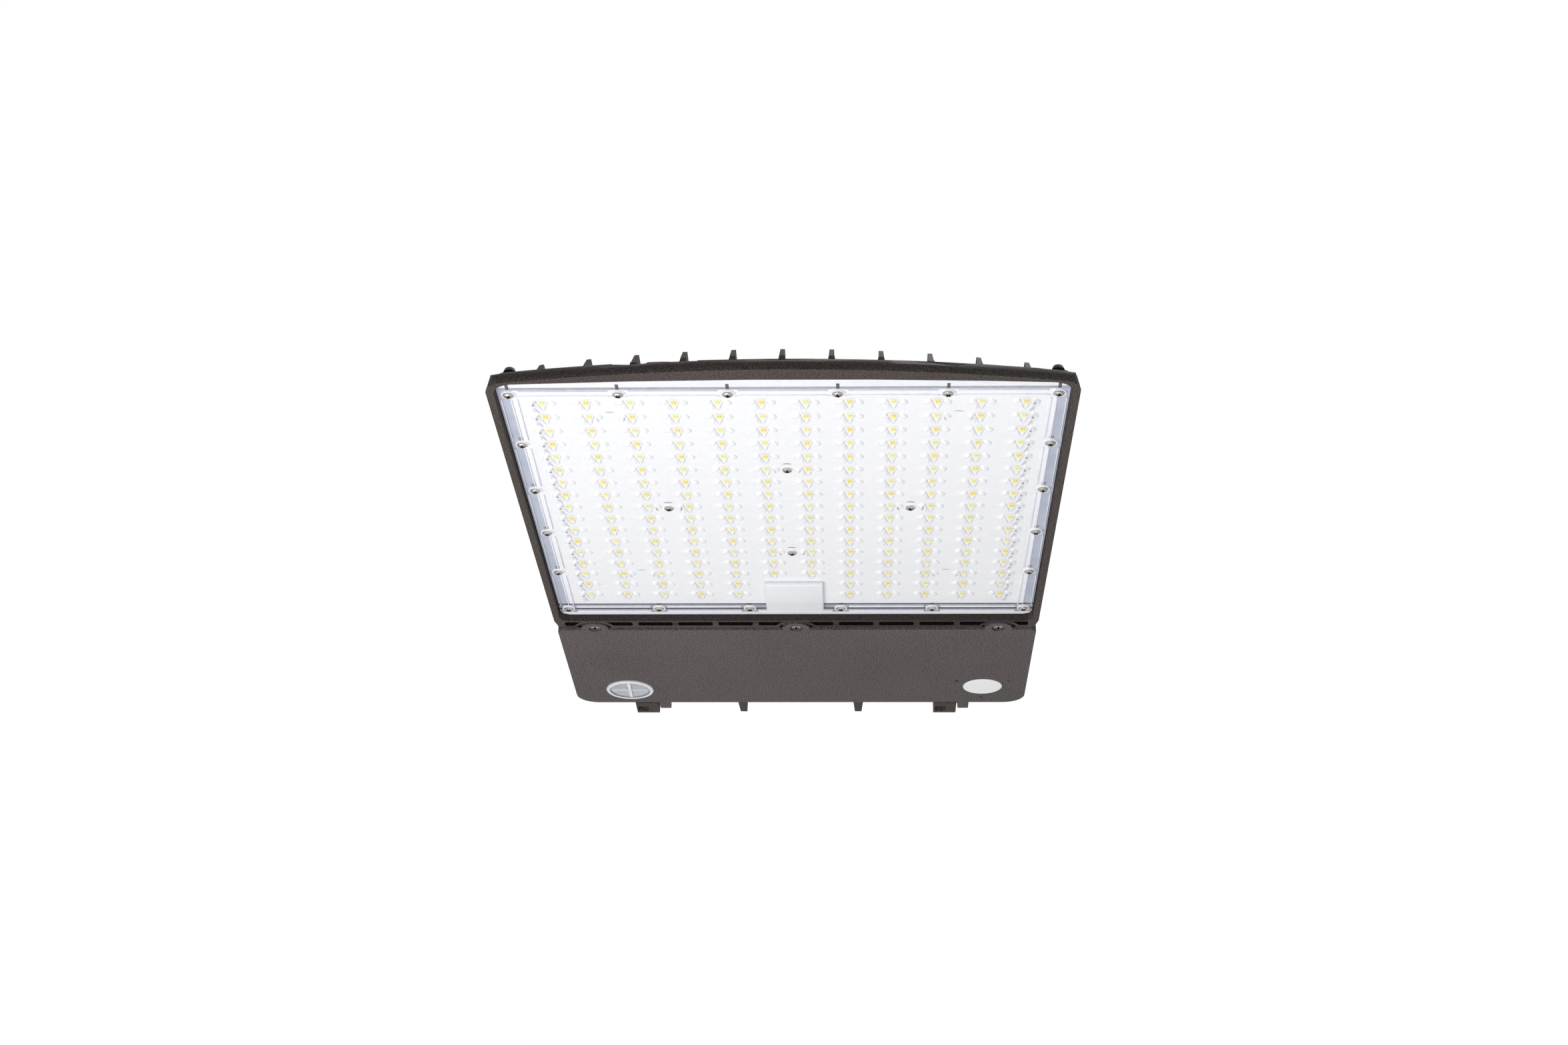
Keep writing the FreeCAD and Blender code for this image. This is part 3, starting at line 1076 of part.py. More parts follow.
def make_fixings():
    """Screws that hold the driver and its neighbours, and the ground screw."""
    screw = pan_screw("device_screw", "lens_screw_shank", "lens_screw_head", "lens_screw_head_height",
                      "ear_thickness + board_screw_bite")
    copies("device_screws", screw, [(x, y, f"{SEATS} - ear_thickness") for x, y in DEVICE_SCREWS])
    short = pan_screw("short_screw", "lens_screw_shank", "lens_screw_head", "lens_screw_head_height",
                      "board_screw_bite")
    copies("ground_screw", short, [("ground_x", "-ground_setback", SEATS)])
    wall = pan_screw("wall_screw", "lens_screw_shank", "lens_screw_head", "lens_screw_head_height",
                     "bracket_thickness + board_screw_bite")
    copies("bracket_screws", wall, [(x, BRACKET_FACE, z) for x, z in BRACKET_SCREWS],
           FreeCAD.Rotation(Vector(1, 0, 0), -90))
    ring = new_body("wire_grommet")
    lip = "(pad_height + box_wall + bolt_boss_length)"
    pad(ring, "XZ_Plane", [("ring", "0", "0", "wire_hole / 2"), ("ring", "0", "0", "wire_way / 2")],
        "1", f"{lip} - 1")
    pad(ring, "XZ_Plane", [("ring", "0", "0", "wire_hole / 2 + 2"), ("ring", "0", "0", "wire_way / 2")],
        lip, "2")
    gland = new_body("cable_gland")
    pad(gland, "XZ_Plane", [("ring", "0", DUCT, "duct_bore / 2"),
                            ("ring", "0", DUCT, "cable_width / 2 + gland_play")],
        f"-({BEAM_REAR}) - 1", "gland_length")


def make_selector():
    """The switch behind the cap, its bracket and the two sliders."""
    bracket = new_body("selector_bracket")
    wide = "(switch_length)"
    front = "(-cap_setback - switch_width / 2)"
    pad(bracket, "XY_Plane", [box(f"cap_x - {wide} / 2", f"cap_x + {wide} / 2", front,
                                  f"{BRACKET_FACE} + bracket_thickness")], SWITCH_TOP, "bracket_thickness")
    pad(bracket, "XY_Plane", [box(f"cap_x - {wide} / 2", f"cap_x + {wide} / 2", BRACKET_FACE,
                                  f"{BRACKET_FACE} + bracket_thickness")], SWITCH_TOP, "bracket_tall")
    cut(bracket, "XZ_Plane", [eight_sided(x, z, "lens_screw_shank / 2 + screw_clearance")
                              for x, z in BRACKET_SCREWS],
        f"-({BRACKET_FACE}) - bracket_thickness", "bracket_thickness")
    switch = new_body("selector_switch")
    pad(switch, "XY_Plane", [centred("cap_x", "-cap_setback", "switch_length", "switch_width")],
        "-switch_floor", "switch_height")
    rows = [f"(-cap_setback {side} slider_gap / 2)" for side in ("-", "+")]
    cut(switch, "XY_Plane", [centred("cap_x", row, "slider_length + 2 * (slider_travel + slider_clearance)",
                                     "slider_width + 2 * slider_clearance") for row in rows],
        "-switch_floor", "slider_stem + slider_clearance")
    for label, row in zip(("power_slider", "cct_slider"), rows):
        knob = new_body(label)
        pad(knob, "XY_Plane", [centred("cap_x", row, "slider_length", "slider_width")],
            "-switch_floor - slider_height", "slider_height + slider_stem")


# ------------------------------------------------------------------ cables
def cord(label, points):
    """A cable through its points: straight runs joined by tangent arcs."""
    spots = [Vector(*[size(value) for value in point]) for point in points]
    runs = [b - a for a, b in zip(spots, spots[1:])]
    edges = []
    start = spots[0]
    radii = []
    for before, spot, after in zip(runs, spots[1:], runs[1:]):
        half = before.getAngle(after) / 2
        trim = 0.45 * min(before.Length, after.Length)
        radius = trim / math.tan(half)
        enter = spot - Vector(before).normalize() * trim
        leave = spot + Vector(after).normalize() * trim
        inward = (enter + leave - spot * 2).normalize()
        middle = spot + inward * (radius / math.cos(half) - radius)
        edges.append(Part.LineSegment(start, enter).toShape())
        edges.append(Part.Arc(enter, middle, leave).toShape())
        start = leave
        radii.append(radius)
    edges.append(Part.LineSegment(start, spots[-1]).toShape())
    path = Part.Wire(edges)
    reach = size("cable_width") / 2
    flat = FreeCAD.Rotation(Vector(0, 0, 1), runs[0])
    ring = [spots[0] + flat.multVec(Vector(reach * math.cos(turn), reach * math.sin(turn), 0))
            for turn in [math.pi * (index + 0.5) / 4 for index in range(8)]]
    section = Part.makePolygon([*ring, ring[0]])
    tube = path.makePipeShell([section], True, False)
    expected = Part.Face(section).Area * path.Length
    print(f"{label}: length {path.Length:.1f}, tightest bend {min(radii):.1f},"
          f" volume {tube.Volume / expected:.4f} of section x length")
    piece = doc.addObject("Part::Feature", label)
    piece.Label = label
    piece.Shape = tube
    nodes.append(piece)


def make_cables():
    low = f"({BOARD} - cable_width / 2 - thread_play)"
    left = "(driver_x - driver_length / 2 - driver_cap)"
    right = "(driver_x + driver_length / 2 + driver_cap)"
    front = "(-driver_setback - driver_width / 2)"
    cord("led_cable", [
        ("0", "-connector_setback", low), ("0", "-duct_drop - 0.5", low), ("0", "-duct_drop + 0.5", DUCT),
        ("0", "-duct_drop + 25", f"{DUCT} - 0.6"), ("0", f"{BEAM_REAR} + 9", f"{DUCT} + 0.6"),
        ("-26", f"{front} - 7.5", f"{DUCT} + 3.6"), ("-74", f"{front} - 7", f"{DUCT} + 1.6"),
        ("-128", f"{front} - 6.5", f"{DUCT} + 5.6"), (f"{left} - 5", f"{front} - 5", "2"),
        (f"{left} - 18", f"{front} + 10", "6"), (f"{left} - 11", f"{front} + 24", "6"),
        (left, f"{front} + 24", "6")])
    switch_side = "(cap_x - switch_length / 2)"
    cord("selector_cable", [
        (switch_side, "-cap_setback", "-18"), (f"{switch_side} - 9.7", "-cap_setback", "-18"),
        (f"{switch_side} - 12.7", "-cap_setback - 15", "-15"),
        (f"{switch_side} - 10.7", "-cap_setback - 43", "-6"), (f"{left} - 17", "-driver_setback + 24", "3"),
        (f"{left} - 11", "-driver_setback + 15", "6"), (left, "-driver_setback + 15", "6")])
    cord("input_cable", [
        (right, "-driver_setback", "2"), (f"{right} + 11", "-driver_setback", "2"),
        (f"{right} + 13", "-driver_setback + 21", "4"), (f"{right} + 5", "-terminal_setback - 32", "12"),
        ("terminal_x", "-terminal_setback - 22", "17"),
        ("terminal_x", "-terminal_setback - terminal_width / 2", "17")])
    side = "(-surge_setback + surge_width / 2)"
    cord("surge_cable", [
        ("surge_x", side, "13"), ("surge_x", f"{side} + 12", "13"), ("surge_x - 10", f"{side} + 29", "14"),
        ("terminal_x + terminal_length / 2 + 12", "-terminal_setback", "17"),
        ("terminal_x + terminal_length / 2", "-terminal_setback", "17")])


# ------------------------------------------------------------------ build
make_housing()
make_board()
make_lens()
make_lens_fixings()
make_door()
make_door_fittings()
make_cap()
make_plug()
make_driver()
make_surge_protector()
make_terminal_block()
make_fixings()
make_selector()
make_cables()
doc.recompute()


def check_features():
    """Every feature is sound, and each one adds or removes material as meant."""
    for thing in doc.Objects:
        if "Invalid" in thing.State or "Error" in thing.State:
            raise RuntimeError(f"{thing.Label} failed: {thing.State}")
    for body in doc.findObjects("PartDesign::Body"):
        volume = 0.0
        for feature in body.Group:
            if not feature.isDerivedFrom("PartDesign::Feature") or feature.Shape.isNull():
                continue
            change = feature.Shape.Volume - volume
            volume = feature.Shape.Volume
            if feature.TypeId in ("PartDesign::Pad", "PartDesign::Revolution") and change <= 0:
                raise RuntimeError(f"{body.Label}.{feature.Label} adds nothing")
            if feature.TypeId in ("PartDesign::Pocket", "PartDesign::Groove") and change >= 0:
                raise RuntimeError(f"{body.Label}.{feature.Label} removes nothing")


check_features()
for node in nodes:
    shape = node.Shape
    if shape.isNull() or not shape.isValid() or not shape.Solids:
        raise RuntimeError(f"{node.Label} has no sound solid")
    print(f"{node.Label}: {len(shape.Solids)} solids, {shape.Volume:.0f} mm3")
    shape.exportStep(f"parts/{node.Label}.step")
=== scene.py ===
"""Finishes for the shoebox area light: powder coat, moulded optics, LEDs, screws and door fittings."""
import math

import bmesh
import bpy
from mathutils import Matrix, Vector


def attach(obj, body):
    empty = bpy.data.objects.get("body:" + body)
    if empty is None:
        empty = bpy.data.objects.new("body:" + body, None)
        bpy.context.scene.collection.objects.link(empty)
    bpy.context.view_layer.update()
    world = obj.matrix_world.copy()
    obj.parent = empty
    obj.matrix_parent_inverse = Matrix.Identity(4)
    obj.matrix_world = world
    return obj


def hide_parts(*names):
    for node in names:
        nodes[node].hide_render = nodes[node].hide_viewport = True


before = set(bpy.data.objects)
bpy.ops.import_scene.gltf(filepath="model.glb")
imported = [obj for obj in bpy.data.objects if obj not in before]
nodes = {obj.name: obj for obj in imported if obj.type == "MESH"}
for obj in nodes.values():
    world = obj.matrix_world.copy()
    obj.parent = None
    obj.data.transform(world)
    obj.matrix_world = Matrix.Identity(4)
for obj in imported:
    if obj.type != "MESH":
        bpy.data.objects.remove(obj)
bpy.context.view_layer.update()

MM = 0.001
WELD = 0.000004         # m, corners closer than this become one
CAD_WELD = 0.000002     # m, the same for the solids' own corners
CUT_NEAR = 0.000001     # m, corners closer than this to a cut lie on it
EDGE_LIMIT = 32.0       # degrees, edges of the solids sharper than this are rounded
WORLD_LEVEL = 0.28
FLOOR_HEIGHT = -1.35    # m
IOR = 1.45

# ------------------------------------------------------------------ heights and places, in mm
RIM = -34.0
LENS_OUT = -28.5
LENS_IN = -25.5
BOARD = -21.3
LED_FACE = -22.0
LED_PITCH = (29.0, 19.8)
GRID_CENTRE_Y = -376.0
OPTIC_SHIFT = -14.6
FIN_PITCH = 32.1
BOW = 1008.0
RIM_SCREW_X = (36.0, 108.0, 180.0)
RIM_SCREW_Y = (-560.0, -203.0)
SCREW_ROWS = [RIM_SCREW_Y[0] + step * (RIM_SCREW_Y[1] - RIM_SCREW_Y[0]) / 5 for step in range(6)]
CENTRE_SCREWS = [(0.0, -448.3), (-87.0, -386.9), (87.0, -386.9), (0.0, -308.7)]
BOARD_SCREWS = [(side * 116.0, y) for side in (-1, 1) for y in (-514.6, -257.2)]
DOOR_SCREWS = [(x, -172.1) for x in (-162.0, 0.0, 162.0)]
CAP_AT = (-145.3, -39.0)
PLUG_AT = (155.5, -44.6)


def rim_screws():
    """The twenty screws round the lens."""
    ends = [(side * x, y) for x in RIM_SCREW_X for side in (-1, 1) for y in RIM_SCREW_Y]
    return ends + [(side * RIM_SCREW_X[2], y) for side in (-1, 1) for y in SCREW_ROWS[1:5]]


def led_places():
    """Twelve columns of seventeen rows; the middle two stop short of the cover."""
    return [(column, row, (column - 5.5) * LED_PITCH[0], GRID_CENTRE_Y + (row - 8) * LED_PITCH[1])
            for row in range(17) for column in range(12) if row < 15 or column not in (5, 6)]


def leds_of(parity):
    """Column, x and y of every other LED: parity 0 gives the cool ones, 1 the warm ones."""
    return [(column, x, y) for column, row, x, y in led_places() if (column + row) % 2 == parity]


# ------------------------------------------------------------------ small helpers
def linked(name, data):
    """A new object in the scene."""
    made = bpy.data.objects.new(name, data)
    bpy.context.scene.collection.objects.link(made)
    return made


def mesh_from(bm, name):
    """Mesh data from a mesh in the making, which is freed."""
    mesh = bpy.data.meshes.new(name)
    bm.to_mesh(mesh)
    bm.free()
    return mesh


def shade_smooth(bm, sharp):
    """Smooth faces, with hard edges where they meet at more than an angle in degrees."""
    for face in bm.faces:
        face.smooth = True
    for edge in bm.edges:
        edge.smooth = len(edge.link_faces) == 2 and edge.calc_face_angle(0.0) < math.radians(sharp)


def cut_along(bm, place, way):
    """Splits the faces that a plane through a place in mm crosses."""
    geometry = list(bm.verts) + list(bm.edges) + list(bm.faces)
    bmesh.ops.bisect_plane(bm, geom=geometry, dist=CUT_NEAR, plane_co=[value * MM for value in place],
                           plane_no=way)


def ramp(value, start, length):
    """0 up to the start, 1 once the length is passed, and a straight line between."""
    return min(1.0, max(0.0, (value - start) / length))


# ------------------------------------------------------------------ camera, floor and light
def set_camera():
    """The photo's viewpoint: below the front, looking up at the lens."""
    camera = linked("camera", bpy.data.cameras.new("camera"))
    right = Vector((0.9995734656601205, 0.027483763710165955, 0.009875701521387321))
    down = Vector((-0.00275887441605612, 0.42551288501496803, -0.9049481605584901))
    ahead = Vector((-0.02907361966065109, 0.9045349232719333, 0.4254072134100049))
    turn = Matrix((right, -down, -ahead)).transposed()
    camera.matrix_world = Matrix.Translation((0.04481, -1.90063, -0.75234)) @ turn.to_4x4()
    camera.data.sensor_width = 36.0
    camera.data.lens = 53.473
    camera.data.clip_end = 50.0
    bpy.context.scene.camera = camera


def seen_rays(tree):
    """1 for camera, glossy and transmission rays."""
    path = tree.nodes.new("ShaderNodeLightPath")
    total = None
    for name in ("Is Camera Ray", "Is Glossy Ray", "Is Transmission Ray"):
        if total is None:
            total = path.outputs[name]
            continue
        add = tree.nodes.new("ShaderNodeMath")
        add.operation = "ADD"
        add.use_clamp = True
        tree.links.new(total, add.inputs[0])
        tree.links.new(path.outputs[name], add.inputs[1])
        total = add.outputs[0]
    return total


def set_world():
    """Plain white behind the light and in its reflections, and a softer surround that lights it."""
    world = bpy.data.worlds.new("studio")
    bpy.context.scene.world = world
    world.use_nodes = True
    tree = world.node_tree
    tree.nodes.clear()
    out = tree.nodes.new("ShaderNodeOutputWorld")
    mix = tree.nodes.new("ShaderNodeMixShader")
    soft = tree.nodes.new("ShaderNodeBackground")
    soft.inputs["Color"].default_value = (1, 1, 1, 1)
    soft.inputs["Strength"].default_value = WORLD_LEVEL
    white = tree.nodes.new("ShaderNodeBackground")
    white.inputs["Color"].default_value = (1, 1, 1, 1)
    white.inputs["Strength"].default_value = 1.0
    tree.links.new(seen_rays(tree), mix.inputs[0])
    tree.links.new(soft.outputs[0], mix.inputs[1])
    tree.links.new(white.outputs[0], mix.inputs[2])
    tree.links.new(mix.outputs[0], out.inputs["Surface"])


def add_lamp(name, place, target, size, power):
    """A flat lamp at a place, turned to a target; metres and watts."""
    data = bpy.data.lights.new(name, "AREA")
    data.shape = "RECTANGLE"
    data.size, data.size_y = size
    data.energy = power
    lamp = linked(name, data)
    lamp.location = place
    lamp.rotation_euler = (Vector(target) - Vector(place)).to_track_quat("-Z", "Y").to_euler()


def add_floor():
    """A pale floor that sends light up and can be seen through from below."""
    bm = bmesh.new()
    bmesh.ops.create_grid(bm, x_segments=1, y_segments=1, size=6.0)
    bmesh.ops.translate(bm, verts=bm.verts, vec=(0, 0, FLOOR_HEIGHT))
    floor = linked("floor", mesh_from(bm, "floor"))
    paint, tree, shader = new_material("floor_paint")
    shader.inputs["Base Color"].default_value = (0.86, 0.86, 0.86, 1)
    shader.inputs["Roughness"].default_value = 0.8
    clear = tree.nodes.new("ShaderNodeBsdfTransparent")
    side = tree.nodes.new("ShaderNodeNewGeometry")
    mix = tree.nodes.new("ShaderNodeMixShader")
    tree.links.new(side.outputs["Backfacing"], mix.inputs[0])
    tree.links.new(shader.outputs[0], mix.inputs[1])
    tree.links.new(clear.outputs[0], mix.inputs[2])
    tree.links.new(mix.outputs[0], tree.nodes["Material Output"].inputs["Surface"])
    floor.data.materials.append(paint)


# ------------------------------------------------------------------ finishes
def new_material(name):
    """A material, its node tree and its main shader."""
    made = bpy.data.materials.new(name)
    made.use_nodes = True
    return made, made.node_tree, made.node_tree.nodes["Principled BSDF"]


def new_group(name, inputs, outputs):
    """A node group with its two end nodes."""
    group = bpy.data.node_groups.new(name, "ShaderNodeTree")
    for label, kind, value in inputs:
        socket = group.interface.new_socket(name=label, in_out="INPUT", socket_type=kind)
        socket.default_value = value
    for label, kind in outputs:
        group.interface.new_socket(name=label, in_out="OUTPUT", socket_type=kind)
    return group, group.nodes.new("NodeGroupInput"), group.nodes.new("NodeGroupOutput")


def math_node(tree, operation, first, second):
    """One sum of two numbers or sockets."""
    node = tree.nodes.new("ShaderNodeMath")
    node.operation = operation
    for socket, value in zip(node.inputs, (first, second)):
        if isinstance(value, (int, float)):
            socket.default_value = value
        else:
            tree.links.new(value, socket)
    return node.outputs[0]


def noise_node(tree, place, scale):
    """Noise whose scale comes from a socket."""
    node = tree.nodes.new("ShaderNodeTexNoise")
    tree.links.new(place, node.inputs["Vector"])
    tree.links.new(scale, node.inputs["Scale"])
    node.inputs["Detail"].default_value = 2.0
    return node.outputs["Fac"]


def mix_colour(tree, amount, first, second):
    """A colour between two colour sockets."""
    node = tree.nodes.new("ShaderNodeMix")
    node.data_type = "RGBA"
    for number, socket in ((0, amount), (6, first), (7, second)):
        tree.links.new(socket, node.inputs[number])
    return node.outputs[2]


def make_grain_group():
    """Fine grain with slow tone changes: colour, roughness and a height for bump."""
    group, enter, leave = new_group("surface_grain", [
        ("Dark", "NodeSocketColor", (0, 0, 0, 1)), ("Light", "NodeSocketColor", (1, 1, 1, 1)),
        ("Grain", "NodeSocketFloat", 1500.0), ("Patches", "NodeSocketFloat", 12.0),
        ("Roughness", "NodeSocketFloat", 0.5)], [
        ("Color", "NodeSocketColor"), ("Roughness", "NodeSocketFloat"), ("Height", "NodeSocketFloat")])
    place = group.nodes.new("ShaderNodeTexCoord").outputs["Object"]
    fine = noise_node(group, place, enter.outputs["Grain"])
    slow = noise_node(group, place, enter.outputs["Patches"])
    sharp = group.nodes.new("ShaderNodeMapRange")
    group.links.new(fine, sharp.inputs["Value"])
    sharp.inputs["From Min"].default_value = 0.34
    sharp.inputs["From Max"].default_value = 0.66
    blend = math_node(group, "ADD", math_node(group, "MULTIPLY", sharp.outputs[0], 0.75),
                      math_node(group, "MULTIPLY", slow, 0.25))
    colour = mix_colour(group, blend, enter.outputs["Dark"], enter.outputs["Light"])
    group.links.new(colour, leave.inputs["Color"])
    wave = math_node(group, "MULTIPLY", math_node(group, "SUBTRACT", slow, 0.5), 0.22)
    group.links.new(math_node(group, "ADD", enter.outputs["Roughness"], wave), leave.inputs["Roughness"])
    group.links.new(sharp.outputs[0], leave.inputs["Height"])
    return group


GRAIN = make_grain_group()


def grained(name, dark, light, grain, roughness, metallic=0.0, bump=0.2, depth=0.00006, alpha=1.0, shine=0.5):
    """A finish whose colour, gloss and relief come from the grain."""
    made, tree, shader = new_material(name)
    group = tree.nodes.new("ShaderNodeGroup")
    group.node_tree = GRAIN
    group.inputs["Dark"].default_value = (*dark, 1)
    group.inputs["Light"].default_value = (*light, 1)
    group.inputs["Grain"].default_value = grain
    group.inputs["Roughness"].default_value = roughness
    relief = tree.nodes.new("ShaderNodeBump")
    relief.inputs["Strength"].default_value = bump
    relief.inputs["Distance"].default_value = depth
    tree.links.new(group.outputs["Color"], shader.inputs["Base Color"])
    tree.links.new(group.outputs["Roughness"], shader.inputs["Roughness"])
    tree.links.new(group.outputs["Height"], relief.inputs["Height"])
    tree.links.new(relief.outputs["Normal"], shader.inputs["Normal"])
    shader.inputs["Metallic"].default_value = metallic
    shader.inputs["Alpha"].default_value = alpha
    shader.inputs["IOR"].default_value = IOR
    shader.inputs["Specular IOR Level"].default_value = shine
    return made


FINISH = {
    "casting": grained("bronze_powder_coat", (0.046, 0.039, 0.038), (0.166, 0.146, 0.145), 850.0, 0.60,
                       bump=0.5, depth=0.0001, shine=0.04),
    # Painted shade: the same coat as the door's, drawn darker over the whole housing to stand in for the
    # light falling on it less
    "body": grained("housing_coat_painted_darker", (0.032, 0.026, 0.024), (0.112, 0.096, 0.090), 850.0, 0.60,
                    bump=0.5, depth=0.0001, shine=0.04),
    # Painted shade: darker copies of the housing coat, shade for the rim under the arches and the step behind
    # the lens, deep near-black for inside the slots
    "shade": grained("shaded_powder_coat", (0.022, 0.018, 0.017), (0.066, 0.055, 0.053), 850.0, 0.55,
                     bump=0.4, depth=0.0001, shine=0.03),
    "deep": grained("deep_painted_shadow_coat", (0.004, 0.0035, 0.003), (0.012, 0.010, 0.010), 850.0, 0.7,
                    bump=0.3, depth=0.0001, shine=0.0),
    "flange": grained("clear_flange", (0.86, 0.87, 0.92), (0.92, 0.93, 0.97), 120.0, 0.16, bump=0.05,
                      alpha=0.90),
    "flange_thin": grained("thin_flange", (0.40, 0.41, 0.48), (0.50, 0.51, 0.58), 300.0, 0.14, bump=0.05,
                           alpha=0.80),
    "flange_dark": grained("dark_flange", (0.07, 0.07, 0.09), (0.13, 0.13, 0.16), 300.0, 0.14, bump=0.05,
                           alpha=0.85),
    "flange_side": grained("side_flange", (0.50, 0.54, 0.66), (0.60, 0.64, 0.76), 60.0, 0.16, bump=0.05,
                           alpha=0.8),
    "flange_bar": grained("flange_bar", (0.84, 0.85, 0.90), (0.90, 0.91, 0.95), 300.0, 0.18, bump=0.05,
                          alpha=0.92),
    "plate": grained("clear_plate", (0.90, 0.905, 0.935), (0.94, 0.945, 0.97), 260.0, 0.18, bump=0.05,
                     alpha=0.88),
    # Painted highlight: the clear lobes drawn near-white where they catch the light
    "lobe_highlight": grained("optic_lobe_painted_highlight", (0.99, 0.99, 1.0), (1.0, 1.0, 1.0), 260.0, 0.16, bump=0.03, alpha=0.62),
    # Painted shade: the grey of the valleys and creases between the lobes
    "valley_shade": grained("optic_valley_painted_shade", (0.60, 0.61, 0.70), (0.74, 0.75, 0.84), 260.0, 0.06, bump=0.03,
                      alpha=0.22),
    "crease_shade": grained("optic_crease_painted_shade", (0.42, 0.43, 0.52), (0.56, 0.57, 0.66), 260.0, 0.10, bump=0.03,
                      alpha=0.42),
    "cool_window": grained("cool_window", (0.97, 0.96, 0.62), (1.0, 0.99, 0.76), 900.0, 0.2, bump=0.03,
                           alpha=0.62),
    "warm_window": grained("warm_window", (0.98, 0.90, 0.52), (1.0, 0.95, 0.66), 900.0, 0.2, bump=0.03,
                           alpha=0.66),
    "cool_spot": grained("cool_spot", (0.96, 0.92, 0.14), (1.0, 0.97, 0.34), 900.0, 0.2, bump=0.03,
                         alpha=0.85),
    "warm_spot": grained("warm_spot", (0.97, 0.80, 0.02), (1.0, 0.88, 0.12), 900.0, 0.2, bump=0.03,
                         alpha=0.92),
    "cool_band": grained("cool_band", (0.98, 0.97, 0.74), (1.0, 0.99, 0.84), 900.0, 0.2, bump=0.03,
                         alpha=0.42),
    "warm_band": grained("warm_band", (0.98, 0.88, 0.72), (1.0, 0.93, 0.82), 900.0, 0.2, bump=0.03,
                         alpha=0.5),
    "optic_dark": grained("optic_edge", (0.10, 0.10, 0.14), (0.22, 0.22, 0.27), 900.0, 0.2, bump=0.03,
                          alpha=0.8),
    "cover": grained("frosted_cover", (0.84, 0.85, 0.89), (0.91, 0.92, 0.95), 900.0, 0.46, bump=0.15,
                     alpha=0.78),
    "board": grained("solder_mask", (0.95, 0.95, 0.96), (0.99, 0.99, 0.99), 420.0, 0.40, bump=0.05),
    "package": grained("led_package", (0.90, 0.89, 0.86), (0.98, 0.97, 0.95), 900.0, 0.4, bump=0.05),
    "cool": grained("cool_phosphor", (0.92, 0.86, 0.10), (1.0, 0.95, 0.24), 2600.0, 0.35, bump=0.1),
    "warm": grained("warm_phosphor", (0.94, 0.66, 0.05), (1.0, 0.76, 0.12), 2600.0, 0.35, bump=0.1),
    "gasket": grained("grey_silicone", (0.20, 0.20, 0.21), (0.30, 0.30, 0.31), 700.0, 0.6, bump=0.1),
    "rubber": grained("black_rubber", (0.018, 0.018, 0.018), (0.036, 0.036, 0.036), 900.0, 0.62, bump=0.15),
    "steel": grained("plated_steel", (0.56, 0.54, 0.49), (0.80, 0.78, 0.73), 900.0, 0.26, metallic=0.9,
                     bump=0.1),
    # Painted shade: the walls of the cross recesses in the screw heads, drawn near-black
    "recess": grained("screw_recess_painted_shade", (0.03, 0.027, 0.024), (0.09, 0.085, 0.08), 900.0, 0.4,
                      metallic=1.0, bump=0.1),
    "green": grained("green_plating", (0.02, 0.14, 0.03), (0.05, 0.24, 0.07), 900.0, 0.35, metallic=0.6,
                     bump=0.1),
    "aluminium": grained("drawn_aluminium", (0.58, 0.58, 0.57), (0.72, 0.72, 0.71), 500.0, 0.36,
                         metallic=1.0,
                         bump=0.12),
    "zinc": grained("zinc_plate", (0.42, 0.43, 0.45), (0.62, 0.63, 0.65), 160.0, 0.34, metallic=1.0,
                    bump=0.08),
    "black": grained("black_moulding", (0.018, 0.018, 0.02), (0.04, 0.04, 0.042), 1100.0, 0.46, bump=0.15),
    "white": grained("white_moulding", (0.76, 0.76, 0.75), (0.84, 0.84, 0.83), 1100.0, 0.38, bump=0.08),
    "plug": grained("plug_moulding", (0.84, 0.84, 0.85), (0.92, 0.92, 0.93), 1100.0, 0.30, bump=0.06),
    "blue": grained("switch_moulding", (0.16, 0.22, 0.32), (0.22, 0.29, 0.40), 1100.0, 0.40, bump=0.1),
    "cap": grained("clear_cap", (0.74, 0.76, 0.80), (0.86, 0.88, 0.92), 420.0, 0.10, bump=0.05, alpha=0.5),
    "cap_edge": grained("clear_cap_edge", (0.84, 0.86, 0.90), (0.94, 0.95, 0.98), 420.0, 0.12, bump=0.05,
                        alpha=0.82),
    "cap_blue": grained("cap_shadow", (0.30, 0.34, 0.42), (0.40, 0.45, 0.54), 420.0, 0.2, bump=0.05,
                        alpha=0.7),
    "cap_line": grained("cap_groove", (0.24, 0.24, 0.27), (0.36, 0.36, 0.40), 420.0, 0.2, bump=0.05,
                        alpha=0.8),
    "jacket_white": grained("white_jacket", (0.74, 0.74, 0.72), (0.82, 0.82, 0.80), 700.0, 0.45, bump=0.1),
    "jacket_grey": grained("grey_jacket", (0.15, 0.16, 0.17), (0.22, 0.23, 0.24), 700.0, 0.45, bump=0.1),
    "jacket_black": grained("black_jacket", (0.016, 0.016, 0.017), (0.034, 0.034, 0.036), 700.0, 0.45,
                            bump=0.1),
}


# Plated steel, and the painted shade of the cross recesses
SCREW_FINISHES = ("steel", "recess")


# ------------------------------------------------------------------ making pieces
def place_piece(bm, name, finishes, body, replaced=(), sharp=35.0):
    """Turns a mesh in the making into a finished piece on its body."""
    bmesh.ops.remove_doubles(bm, verts=bm.verts, dist=WELD)
    bmesh.ops.recalc_face_normals(bm, faces=bm.faces)
    shade_smooth(bm, sharp)
    mesh = mesh_from(bm, name)
    for finish in finishes:
        mesh.materials.append(FINISH[finish])
    piece = linked(name, mesh)
    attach(piece, body)
    if replaced:
        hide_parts(*replaced)


def spun(bm, profile, place, steps=28, finish=0):
    """A turned shape: radius and height pairs in mm about an upright axis."""
    x, y = place
    ring = [bm.verts.new(((x + radius) * MM, y * MM, height * MM)) for radius, height in profile]
    edges = [bm.edges.new(pair) for pair in zip(ring, ring[1:])]
    before = set(bm.faces)
    bmesh.ops.spin(bm, geom=ring + edges, cent=(x * MM, y * MM, 0), axis=(0, 0, 1),
                   angle=math.tau, steps=steps, use_merge=True)
    for face in set(bm.faces) - before:
        face.material_index = finish


